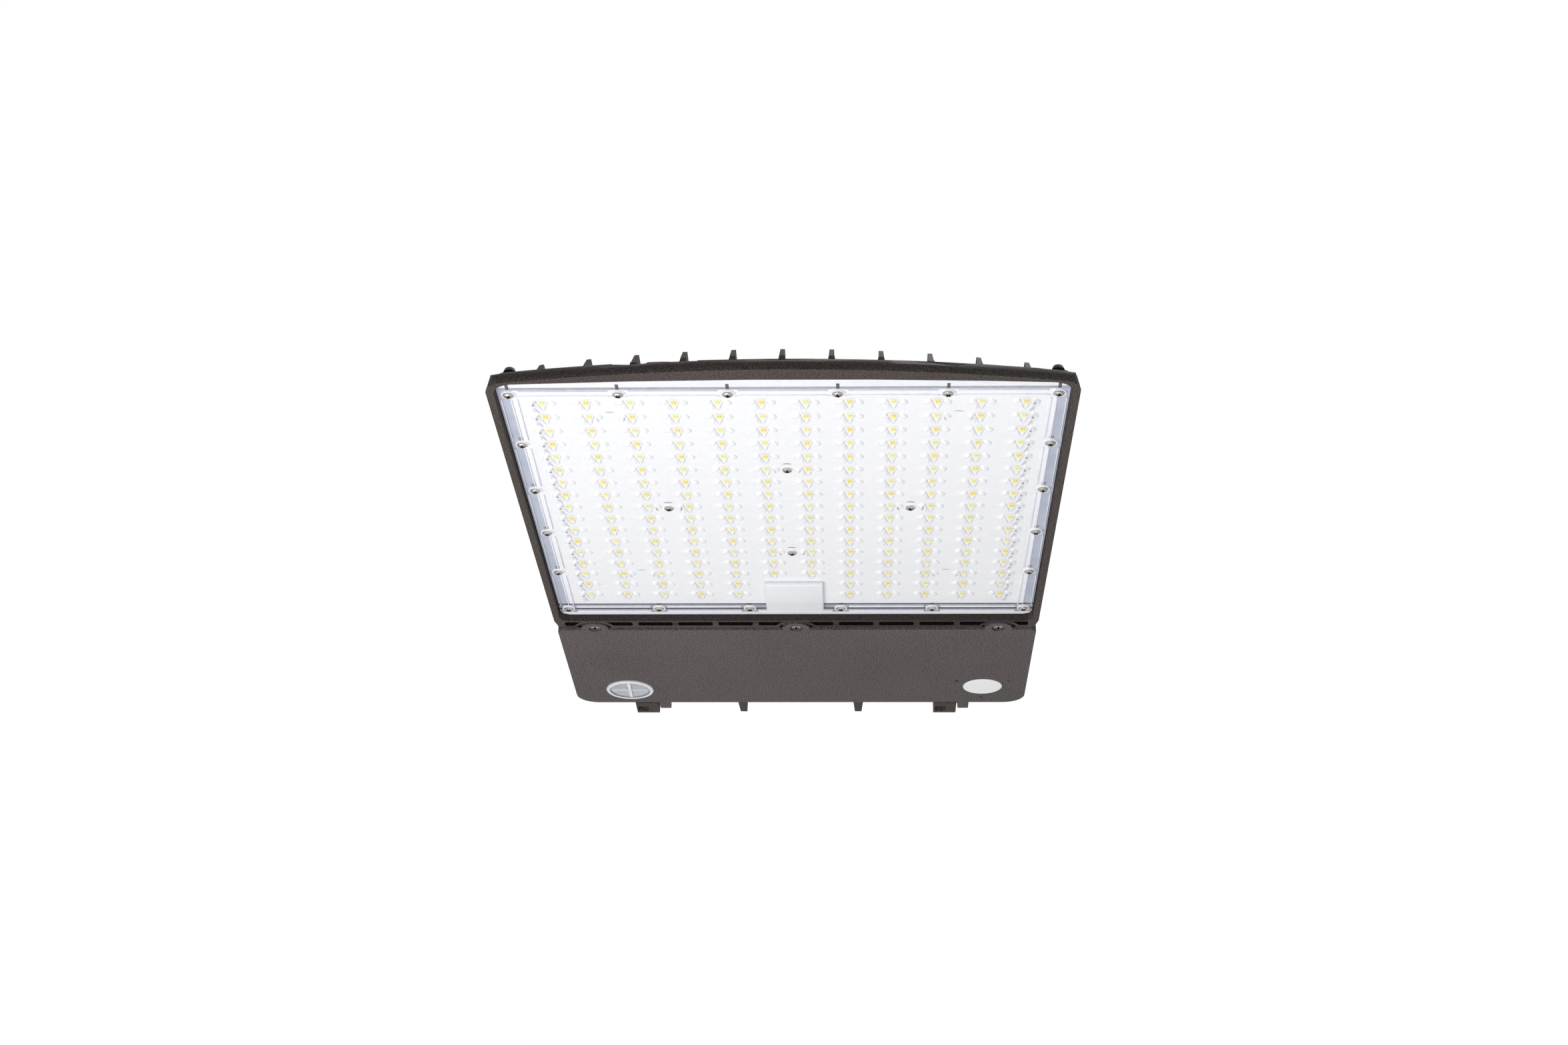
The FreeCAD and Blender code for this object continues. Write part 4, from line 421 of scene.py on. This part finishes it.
def block(bm, low, high, round_by=0.0, segments=2, finish=0):
    """A box between two corners in mm, its edges rounded."""
    made = bmesh.ops.create_cube(bm, size=1.0)["verts"]
    size = [(b - a) * MM for a, b in zip(low, high)]
    bmesh.ops.scale(bm, vec=size, verts=made)
    bmesh.ops.translate(bm, vec=[(a + b) / 2 * MM for a, b in zip(low, high)], verts=made)
    faces = {face for vert in made for face in vert.link_faces}
    for face in faces:
        face.material_index = finish
    if round_by:
        edges = list({edge for face in faces for edge in face.edges})
        bmesh.ops.bevel(bm, geom=edges, offset=round_by * MM, offset_type="OFFSET", segments=segments,
                        profile=0.5, affect="EDGES", material=-1, clamp_overlap=True)


def evaluated_mesh(obj):
    """The mesh of an object after its modifiers."""
    bpy.context.view_layer.update()
    return bpy.data.meshes.new_from_object(obj.evaluated_get(bpy.context.evaluated_depsgraph_get()))


def loose_object(bm, name):
    """A passing object with a screw's two finishes, for cutting or being cut."""
    made = linked(name, mesh_from(bm, name))
    for finish in SCREW_FINISHES:
        made.data.materials.append(FINISH[finish])
    return made


def screw_mesh(head, tall, shank, length, arm):
    """One pan-head screw, head down, seat at z = 0, with a cross recess."""
    bm = bmesh.new()
    profile = [(0, length), (shank * 0.35, length), (shank / 2, length - 0.8), (shank / 2, 0.0),
               (head / 2, 0.0), (head / 2, -tall * 0.35), (head * 0.46, -tall * 0.66),
               (head * 0.34, -tall * 0.9), (head * 0.18, -tall), (0, -tall)]
    spun(bm, profile, (0, 0), steps=20)
    bmesh.ops.remove_doubles(bm, verts=bm.verts, dist=WELD)
    bmesh.ops.recalc_face_normals(bm, faces=bm.faces)
    head_piece = loose_object(bm, "screw_blank")
    bm = bmesh.new()
    # The recess walls take the second finish, a near-black painted shade
    for wide, long in ((arm * 0.32, arm), (arm, arm * 0.32)):
        block(bm, (-wide / 2, -long / 2, -tall - 1), (wide / 2, long / 2, -tall * 0.55), finish=1)
    cutter = loose_object(bm, "recess_cutter")
    carve = head_piece.modifiers.new("recess", "BOOLEAN")
    carve.object = cutter
    carve.operation = "DIFFERENCE"
    carve.solver = "EXACT"
    carve.use_self = True
    made = evaluated_mesh(head_piece)
    bpy.data.objects.remove(head_piece)
    bpy.data.objects.remove(cutter)
    return made


def add_screws(name, mesh, places, body, replaced, turns=True):
    """Copies of one screw at places in mm, their recesses turned this way and that unless told not to."""
    bm = bmesh.new()
    for index, (x, y, z) in enumerate(places):
        before = set(bm.verts)
        bm.from_mesh(mesh)
        fresh = [vert for vert in bm.verts if vert not in before]
        angle = (index * 37 % 90) if turns else 0
        turned = Matrix.Rotation(math.radians(angle), 3, "Z")
        bmesh.ops.rotate(bm, cent=(0, 0, 0), matrix=turned, verts=fresh)
        bmesh.ops.translate(bm, vec=(x * MM, y * MM, z * MM), verts=fresh)
    place_piece(bm, name, SCREW_FINISHES, body, [replaced], sharp=30.0)


def dressed_copy(node, finish, body, soft):
    """A CAD solid with its facets joined and its edges rounded by some mm."""
    bm = bmesh.new()
    bm.from_mesh(nodes[node].data)
    bmesh.ops.remove_doubles(bm, verts=bm.verts, dist=CAD_WELD)
    bmesh.ops.dissolve_limit(bm, angle_limit=math.radians(0.8), verts=bm.verts, edges=bm.edges,
                             delimit=set())
    for face in bm.faces:
        face.material_index = 0
    shade_smooth(bm, EDGE_LIMIT)
    mesh = mesh_from(bm, node + "_dressed")
    mesh.materials.append(FINISH[finish])
    piece = linked(node + "_dressed", mesh)
    if soft:
        edge_round = piece.modifiers.new("edges", "BEVEL")
        edge_round.width = soft * MM
        edge_round.segments = 2
        edge_round.limit_method = "ANGLE"
        edge_round.angle_limit = math.radians(EDGE_LIMIT)
        edge_round.use_clamp_overlap = True
        edge_round.harden_normals = True
    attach(piece, body)
    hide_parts(node)
    return piece


def shape_housing(piece):
    """Front corners that lean in and roll over, and lower seats under the corner plugs."""
    seat_x, seat_y, seat_reach, seat_floor, seat_drop, seat_slim = 180.0, -560.5, 6.4, -15.0, 4.2, 0.3
    foot_half, foot_side, foot_low, foot_high, foot_long, foot_drop = 3.2, 175.0, -24.0, -16.0, 15.5, 6.0
    nose_front, lean_side, lean_wide, lean_in, roll_down = 602.0, 176.0, 17.0, 6.5, 2.2
    for vert in piece.data.vertices:
        x, y, z = (value / MM for value in vert.co)
        wide = abs(x)
        if math.hypot(wide - seat_x, y - seat_y) < seat_reach and z > seat_floor:
            vert.co.z -= seat_drop * MM
            vert.co.x += math.copysign(seat_slim * (seat_x - wide), x) * MM
            continue
        off = wide - FIN_PITCH * round(wide / FIN_PITCH)
        lip = BOW - math.sqrt(BOW ** 2 - x ** 2) - nose_front
        if abs(off) < foot_half and wide < foot_side and foot_low < z < foot_high and y < lip + foot_long:
            vert.co.z -= foot_drop * MM
            continue
        near = ramp(-y, 500.0, 70.0)
        high = ramp(z, -30.0, 13.0)
        if wide > lean_side and near > 0 and high > 0:
            reach = ramp(wide, lean_side, lean_wide)
            vert.co.x -= math.copysign(lean_in * near * high ** 1.6 * reach, x) * MM
            vert.co.z -= roll_down * near * high ** 2 * reach * MM


def shade_housing(piece):
    """Darker paint where the slots, the step behind the lens and the screw arches see no light."""
    front, step_behind_lens, rear, top, half = -190.5, -187.6, -163.5, -12.0, 186.0
    for finish in ("shade", "deep"):
        piece.data.materials.append(FINISH[finish])
    bm = bmesh.new()
    bm.from_mesh(piece.data)
    for level in (-14.0, -33.2):
        cut_along(bm, (0, 0, level), (0, 0, 1))
    bm.to_mesh(piece.data)
    bm.free()
    for face in piece.data.polygons:
        x, y, z = (value / MM for value in face.center)
        if not front < y < rear or z > top or abs(x) > half:
            continue
        on_rim = face.normal.z < -0.7 and z < -33.4
        # 1 is the painted shade of the rim and the step behind the lens, 2 the near-black painted shade
        # inside the slots
        face.material_index = 1 if on_rim or y < step_behind_lens else 2


def repaint(node, finish):
    """A finish on a solid that is shown as it is."""
    nodes[node].data.materials.clear()
    nodes[node].data.materials.append(FINISH[finish])


# ------------------------------------------------------------------ lens
# Finishes of the optics and of the plate, in the order in which each mesh holds them
PLATE, LOBE_HIGHLIGHT, VALLEY_SHADE, CREASE_SHADE, WINDOW, SPOT, BAND, DARK_EDGE = range(8)
FIELD, FLANGE, BAR, THIN, SIDE, DARK = range(6)


def patch(bm, corners, height, finish, rise=0.0):
    """A thin pane at a height in mm, its middle raised when asked."""
    ring = [bm.verts.new((x, y, -height)) for x, y in corners]
    if not rise:
        bm.faces.new(ring).material_index = finish
        return
    top = bm.verts.new((sum(x for x, _ in corners) / len(corners), sum(y for _, y in corners) / len(corners),
                        -height - rise))
    for first, second in zip(ring, ring[1:] + ring[:1]):
        bm.faces.new((first, second, top)).material_index = finish


def optic_mesh(edge):
    """One optic: two domed petals drawn near-white as a painted highlight, a bright window over the LED, and
    a V of folds behind it, whose grey is painted shade.

    The edge is -1 or 1 in the outer columns, whose optics have more folds on that side, and else 0.
    """
    bm = bmesh.new()
    for side in (-1, 1):
        made = bmesh.ops.create_uvsphere(bm, u_segments=10, v_segments=6, radius=1.0)["verts"]
        bmesh.ops.scale(bm, vec=(2.7, 4.2, 1.7), verts=made)
        bmesh.ops.rotate(bm, cent=(0, 0, 0), matrix=Matrix.Rotation(side * -0.5, 3, "Z"), verts=made)
        bmesh.ops.translate(bm, vec=(side * 6.6, 0.6, 0.0), verts=made)
    upper = [vert for vert in bm.verts if vert.co.z > 0.01]
    bmesh.ops.delete(bm, geom=upper, context="VERTS")
    # The petals take the near-white finish, a painted highlight
    for face in bm.faces:
        face.material_index = LOBE_HIGHLIGHT
    patch(bm, [(-3.5, -4.2), (3.5, -4.2), (2.6, -1.6), (-2.6, -1.6)], 0.30, BAND, 0.5)
    patch(bm, [(-2.9, -1.6), (2.9, -1.6), (1.3, 4.4), (-1.3, 4.4)], 0.40, WINDOW, 0.7)
    for x in (-0.85, 1.0):
        patch(bm, [(x - 0.62, -0.9), (x + 0.62, -0.9), (x + 0.42, 2.4), (x - 0.42, 2.4)], 1.25, SPOT)

    def fold(side, corners, height, finish):
        patch(bm, [(side * x, y) for x, y in corners], height, finish)

    # The crease and valley patches are grey painted shade along the folds between the lobes
    for side in (-1, 1):
        fold(side, [(3.7, -1.8), (4.3, -1.8), (1.5, 10.4), (1.1, 10.4)], 0.25, CREASE_SHADE)
        fold(side, [(1.8, 5.0), (2.2, 5.0), (0.4, 12.6), (0.15, 12.6)], 0.25, CREASE_SHADE)
    if edge:
        fold(edge, [(4.4, -3.0), (6.2, -2.4), (5.9, -0.2), (4.6, -0.8)], 3.3, DARK_EDGE)
        fold(edge, [(4.2, 1.6), (6.2, 2.6), (6.0, 9.0), (4.4, 7.4)], 3.25, CREASE_SHADE)
        fold(edge, [(4.6, 9.2), (6.0, 10.2), (3.6, 15.6), (2.6, 14.8)], 0.3, CREASE_SHADE)
    else:
        patch(bm, [(-4.2, 3.2), (-2.2, 2.4), (-2.6, 12.0), (-3.6, 11.4)], 0.22, VALLEY_SHADE)
    bmesh.ops.scale(bm, vec=(MM, MM, MM), verts=bm.verts)
    return mesh_from(bm, "optic_master")


def add_optics():
    """The optics on the plate, in two meshes: over the cool LEDs and over the warm ones."""
    masters = {edge: optic_mesh(edge) for edge in (-1, 0, 1)}
    for kind, parity in (("cool", 0), ("warm", 1)):
        bm = bmesh.new()
        for column, x, y in leds_of(parity):
            before = len(bm.verts)
            bm.from_mesh(masters[-1 if column == 0 else 1 if column == 11 else 0])
            bm.verts.ensure_lookup_table()
            bmesh.ops.translate(bm, vec=(x * MM, (y + OPTIC_SHIFT) * MM, (LENS_OUT - 0.02) * MM),
                                verts=bm.verts[before:])
        for face in bm.faces:
            face.smooth = True
        mesh = mesh_from(bm, f"{kind}_optics")
        for finish in ("plate", "lobe_highlight", "valley_shade", "crease_shade", f"{kind}_window", f"{kind}_spot", f"{kind}_band",
                       "optic_dark"):
            mesh.materials.append(FINISH[finish])
        piece = linked(f"{kind}_optics", mesh)
        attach(piece, "casing")


def plate_outline():
    """The plate in plan, in mm: a bowed front, tangent corners, and small rear corners."""
    half, front, rear, bow, corner = 187.3, 587.8, -190.0, 3000.0, 13.2
    centre_x, low = half - corner, bow - corner
    drop = math.sqrt(low ** 2 - centre_x ** 2)
    centre_y = bow - front - drop
    lean = math.asin(centre_x / low)
    left = []
    for step in range(7):
        turn = math.pi / 2 - (math.pi / 2 - lean) * step / 6
        left.append((-centre_x - corner * math.sin(turn), centre_y - corner * math.cos(turn)))
    bowed = [(x, bow - front - math.sqrt(bow ** 2 - x ** 2)) for x in range(-150, 151, 25)]
    right = [(-x, y) for x, y in reversed(left)]
    tail = [(half, rear - 7), (half - 2, rear - 2.2), (half - 7, rear)]
    return left + bowed + right + tail + [(-x, y) for x, y in reversed(tail)]


def add_lens_plate():
    """The plate: a flange in stripes round a field that the optics stand on."""
    bm = bmesh.new()
    bm.faces.new([bm.verts.new((x * MM, y * MM, LENS_OUT * MM)) for x, y in plate_outline()])
    field_side, bar_side, edge_side = 173.0, 177.4, 179.8
    lip, front_rib, front_bar, front_line = -569.0, -565.4, -557.0, -556.2
    rear_line, rear_rib, rear_seat, rear_bar, rear_lip = -212.0, -209.6, -203.5, -200.4, -195.0
    for x in (-edge_side, -bar_side, -field_side, field_side, bar_side, edge_side):
        cut_along(bm, (x, 0, 0), (1, 0, 0))
    for y in (lip, front_rib, front_bar, front_line, rear_line, rear_rib, rear_seat, rear_bar, rear_lip):
        cut_along(bm, (0, y, 0), (0, 1, 0))
    for face in bm.faces:
        middle = face.calc_center_median() / MM
        x, y = abs(middle.x), middle.y
        if y < lip or y > rear_lip:
            finish = FLANGE
        elif y < front_rib:
            finish = THIN
        elif y < front_bar:
            finish = BAR if x < bar_side else SIDE
        elif y < front_line:
            finish = THIN if x < field_side else SIDE
        elif y > rear_line:
            finish = DARK if y < rear_rib or rear_seat < y < rear_bar else THIN
        elif x < field_side:
            finish = FIELD
        elif x < bar_side:
            finish = FLANGE
        else:
            finish = SIDE if x > edge_side else BAR
        face.material_index = finish
    extruded = bmesh.ops.extrude_face_region(bm, geom=list(bm.faces))["geom"]
    bmesh.ops.translate(bm, vec=(0, 0, (LENS_IN - LENS_OUT) * MM),
                        verts=[item for item in extruded if isinstance(item, bmesh.types.BMVert)])
    for place in CENTRE_SCREWS:
        spun(bm, [(4.7, LENS_IN - 0.1), (6.0, LENS_IN - 0.1), (6.0, BOARD - 0.05), (2.3, BOARD - 0.05),
                  (2.3, BOARD - 2.7), (4.6, BOARD - 2.7), (4.7, LENS_IN - 0.1)], place, steps=28, finish=0)
    finishes = ("plate", "flange", "flange_bar", "flange_thin", "flange_side", "flange_dark")
    place_piece(bm, "lens_plate", finishes, "casing", ["lens"])


def add_flange_bars():
    """Thin raised ribs along the flange, parted by a moulded seat at each screw."""
    bm = bmesh.new()
    low, high = LENS_OUT - 1.2, LENS_OUT + 0.3
    stops = sorted([side * x for x in RIM_SCREW_X for side in (-1, 1)])
    for left, right in zip(stops, stops[1:]):
        for y, deep in ((-564.6, 1.0), (-558.2, 1.0), (-206.6, 1.4), (-198.0, 1.2)):
            if y == -206.6 and left < 0 < right:
                continue
            block(bm, (left + 6.5, y - deep / 2, low), (right - 6.5, y + deep / 2, high), 0.4)
    for side in (-1, 1):
        for near, far in zip(SCREW_ROWS, SCREW_ROWS[1:]):
            for x, wide in ((175.2, 1.0), (179.0, 0.7), (185.6, 0.7)):
                low_x, high_x = sorted((side * (x - wide / 2), side * (x + wide / 2)))
                block(bm, (low_x, near + 6.5, low), (high_x, far - 6.5, high), 0.3)
    for x, y in rim_screws():
        spun(bm, [(4.0, LENS_OUT + 0.2), (4.0, LENS_OUT - 0.9), (4.4, LENS_OUT - 1.1), (4.9, LENS_OUT - 0.9),
                  (5.2, LENS_OUT + 0.2), (4.0, LENS_OUT + 0.2)], (x, y), steps=24, finish=1)
        marks = [(1.1, 6.2, 13.0)] if y == RIM_SCREW_Y[0] else [(1.8, 6.0, 6.9), (1.8, 8.4, 9.3)]
        for half, start, end in marks:
            block(bm, (x - half, y - end, LENS_OUT - 0.1), (x + half, y - start, LENS_OUT + 0.3), finish=2)
    place_piece(bm, "lens_flange_bars", ("flange_bar", "flange", "flange_dark"), "casing", ())


def add_screw_arcs():
    """Curved folds in the plate round the centre screws and over the board screws."""
    bm = bmesh.new()
    places = CENTRE_SCREWS + [(x, y - 11.0) for x, y in BOARD_SCREWS]
    for x, y in places:
        for start, end in ((150, 205), (-25, 30), (250, 290)):
            inner, outer = [], []
            for step in range(5):
                turn = math.radians(start + (end - start) * step / 4)
                thin = 0.5 * math.sin(math.pi * (step + 0.5) / 5)
                for ring, radius in ((inner, 9.2 - thin), (outer, 9.2 + thin)):
                    place = (x + radius * math.cos(turn), y + radius * math.sin(turn), LENS_OUT - 0.25)
                    ring.append(bm.verts.new([value * MM for value in place]))
            for step in range(4):
                face = bm.faces.new((inner[step], inner[step + 1], outer[step + 1], outer[step]))
                face.material_index = 1 if (x, y) in CENTRE_SCREWS else 0
    place_piece(bm, "lens_screw_arcs", ("flange_thin", "optic_dark"), "casing", ())


def add_cover():
    """The frosted box over the connector."""
    bm = bmesh.new()
    block(bm, (-22.7, -255.0, LENS_OUT - 3.8), (22.7, -204.0, LENS_OUT + 0.2), 1.4, 3)
    block(bm, (-20.4, -240.0, LENS_OUT - 4.0), (20.4, -239.2, LENS_OUT - 3.6), 0.15)
    place_piece(bm, "connector_cover", ("cover",), "casing", ())


def add_leds():
    """Packages with two phosphor windows, cool and warm in turn."""
    for kind, parity in (("cool", 0), ("warm", 1)):
        bm = bmesh.new()
        for _, x, y in leds_of(parity):
            block(bm, (x - 1.5, y - 1.5, LED_FACE + 0.12), (x + 1.5, y + 1.5, BOARD), 0.12, 1)
            for side in (-1, 1):
                block(bm, (x + side * 0.78 - 0.55, y - 1.25, LED_FACE), (x + side * 0.78 + 0.55, y + 1.25,
                      LED_FACE + 0.2), 0.1, 1, finish=1)
        place_piece(bm, f"{kind}_packages", ("package", kind), "casing", [f"{kind}_leds"])


# ------------------------------------------------------------------ door fittings
def add_cap():
    """The clear cap: outer ring, a groove, and a cross grip over the selector."""
    bm = bmesh.new()
    cap_x, cap_y = CAP_AT
    low = RIM - 1.7
    inside = [(0, -27.2), (14.6, -27.2), (14.6, -33.2), (16.6, -33.2), (16.6, RIM), (20.0, RIM)]
    outside = [(20.1, low + 0.5), (19.6, low), (17.2, low), (16.7, low + 0.3), (16.5, low + 1.1),
               (15.6, low + 1.2), (0, low + 1.2)]
    spun(bm, inside + outside, CAP_AT, steps=56, finish=0)
    for wide, long, finish in ((31.0, 1.5, 0), (2.8, 31.0, 1)):
        block(bm, (cap_x - wide / 2, cap_y - long / 2, low + 0.05),
              (cap_x + wide / 2, cap_y + long / 2, low + 1.5), 0.35, 2, finish=finish)
    block(bm, (cap_x - 2.4, cap_y - 6.0, low + 1.1), (cap_x + 2.0, cap_y + 3.0, low + 1.4), finish=2)
    for face in bm.faces:
        middle = face.calc_center_median() / MM
        if middle.z >= RIM + 0.1:
            continue
        reach = math.hypot(middle.x - cap_x, middle.y - cap_y)
        if 16.3 < reach < 17.3:
            face.material_index = 3
        elif reach > 16.6:
            face.material_index = 1
    place_piece(bm, "selector_cap_window", ("cap", "cap_edge", "cap_blue", "cap_line"), "cap",
                ["selector_cap"])


def add_plug():
    """The white disc that closes the sensor port."""
    bm = bmesh.new()
    face = RIM - 0.5
    spun(bm, [(0, -27.0), (13.9, -27.0), (14.6, -27.6), (14.6, -33.0), (16.45, -33.0), (16.5, face + 0.35),
              (16.1, face + 0.04), (15.2, face), (0, face)], PLUG_AT, steps=56)
    place_piece(bm, "sensor_plug_disc", ("plug",), "plug", ["sensor_plug"])


def add_cables():
    """Leads inside the light, each along its route."""
    routes = {
        "led_cable": ("jacket_white", 0.2631, [
            (0, -222, -23.35), (0, -214.5, -23.35), (0, -213.5, -9.6), (0, -189, -10.2), (0, -167, -9.0),
            (-26, -167.5, -6.0), (-74, -167, -8.0), (-128, -166.5, -4.0), (-160, -165, 2), (-173, -150, 6),
            (-166, -136, 6), (-155, -136, 6)]),
        "selector_cable": ("jacket_grey", 0.0971, [
            (-160.3, -39, -18), (-170.0, -39, -18), (-173.0, -54, -15), (-171.0, -82, -6), (-172, -103, 3),
            (-166, -112, 6), (-155, -112, 6)]),
        "input_cable": ("jacket_black", 0.0968, [
            (91, -127, 2), (102, -127, 2), (104, -106, 4), (96, -72, 12), (78, -62, 17), (78, -50, 17)]),
        "surge_cable": ("jacket_black", 0.0694, [
            (142, -85, 13), (142, -73, 13), (132, -56, 14), (110, -40, 17), (98, -40, 17)]),
    }
    for name, (finish, length, points) in routes.items():
        curve = bpy.data.curves.new(name + "_lead", "CURVE")
        curve.dimensions = "3D"
        curve.bevel_depth = 2.0 * MM
        curve.bevel_resolution = 4
        curve.resolution_u = 10
        curve.use_fill_caps = True
        line = curve.splines.new("NURBS")
        line.points.add(len(points) - 1)
        for point, place in zip(line.points, points):
            point.co = (*[value * MM for value in place], 1.0)
        line.order_u = 3
        line.use_endpoint_u = True
        curve.materials.append(FINISH[finish])
        lead = linked(name + "_lead", curve)
        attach(lead, "casing")
        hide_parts(name)


# ------------------------------------------------------------------ the light
bpy.context.scene.view_settings.view_transform = "Standard"
set_camera()
set_world()
add_floor()
add_lamp("key_from_below", (-0.3, -0.8, -1.25), (0, -0.3, 0), (1.8, 1.4), 31.0)
add_lamp("fill_above", (0.7, 0.5, 2.0), (0, -0.3, 0), (1.8, 1.4), 34.0)
add_cables()

# The housing takes the darker copy of the coat, which is painted shade; the door takes the coat itself
housing = dressed_copy("housing", "body", "casing", soft=0.0)
shape_housing(housing)
shade_housing(housing)
dressed_copy("driver_door", "casting", "door", soft=0.5)
add_lens_plate()
add_flange_bars()
add_optics()
add_screw_arcs()
add_cover()
add_leds()
add_cap()
add_plug()
add_screws("lens_rim_pan_heads", screw_mesh(6.8, 2.4, 4.0, 9.5, 4.0),
           [(x, y, LENS_OUT) for x, y in rim_screws()], "casing", "lens_rim_screws")
add_screws("lens_centre_pan_heads", screw_mesh(7.2, 2.2, 4.0, 13.7, 4.2),
           [(x, y, LENS_OUT + 0.2) for x, y in CENTRE_SCREWS], "casing", "lens_centre_screws")
add_screws("board_pan_heads", screw_mesh(5.6, 2.0, 3.0, 6.0, 3.2), [(x, y, BOARD) for x, y in BOARD_SCREWS],
           "casing", "board_screws")
add_screws("door_pan_heads", screw_mesh(8.8, 2.6, 5.0, 13.5, 5.2),
           [(x, y, RIM + 3.2) for x, y in DOOR_SCREWS], "door", "door_screws", turns=False)

for node, finish in (("led_board", "board"), ("board_connector", "white"), ("lens_gasket", "gasket"),
                     ("device_screws", "steel"), ("ground_screw", "green"), ("bracket_screws", "steel"),
                     ("wire_grommet", "rubber"), ("cable_gland", "rubber"),
                     ("door_gasket", "gasket"), ("hinge_pins", "steel"), ("screw_retainers", "black"),
                     ("cap_seal", "rubber"), ("plug_seal", "rubber"), ("power_slider", "white"),
                     ("cct_slider", "white"), ("selector_switch", "blue")):
    repaint(node, finish)
for node, finish in (("led_driver", "aluminium"), ("driver_end_caps", "black"), ("surge_protector", "black"),
                     ("terminal_block", "white"), ("selector_bracket", "zinc")):
    dressed_copy(node, finish, "casing", soft=0.7)

for vert in dressed_copy("corner_plugs", "rubber", "casing", soft=0.4).data.vertices:
    vert.co.z -= 1.7 * MM
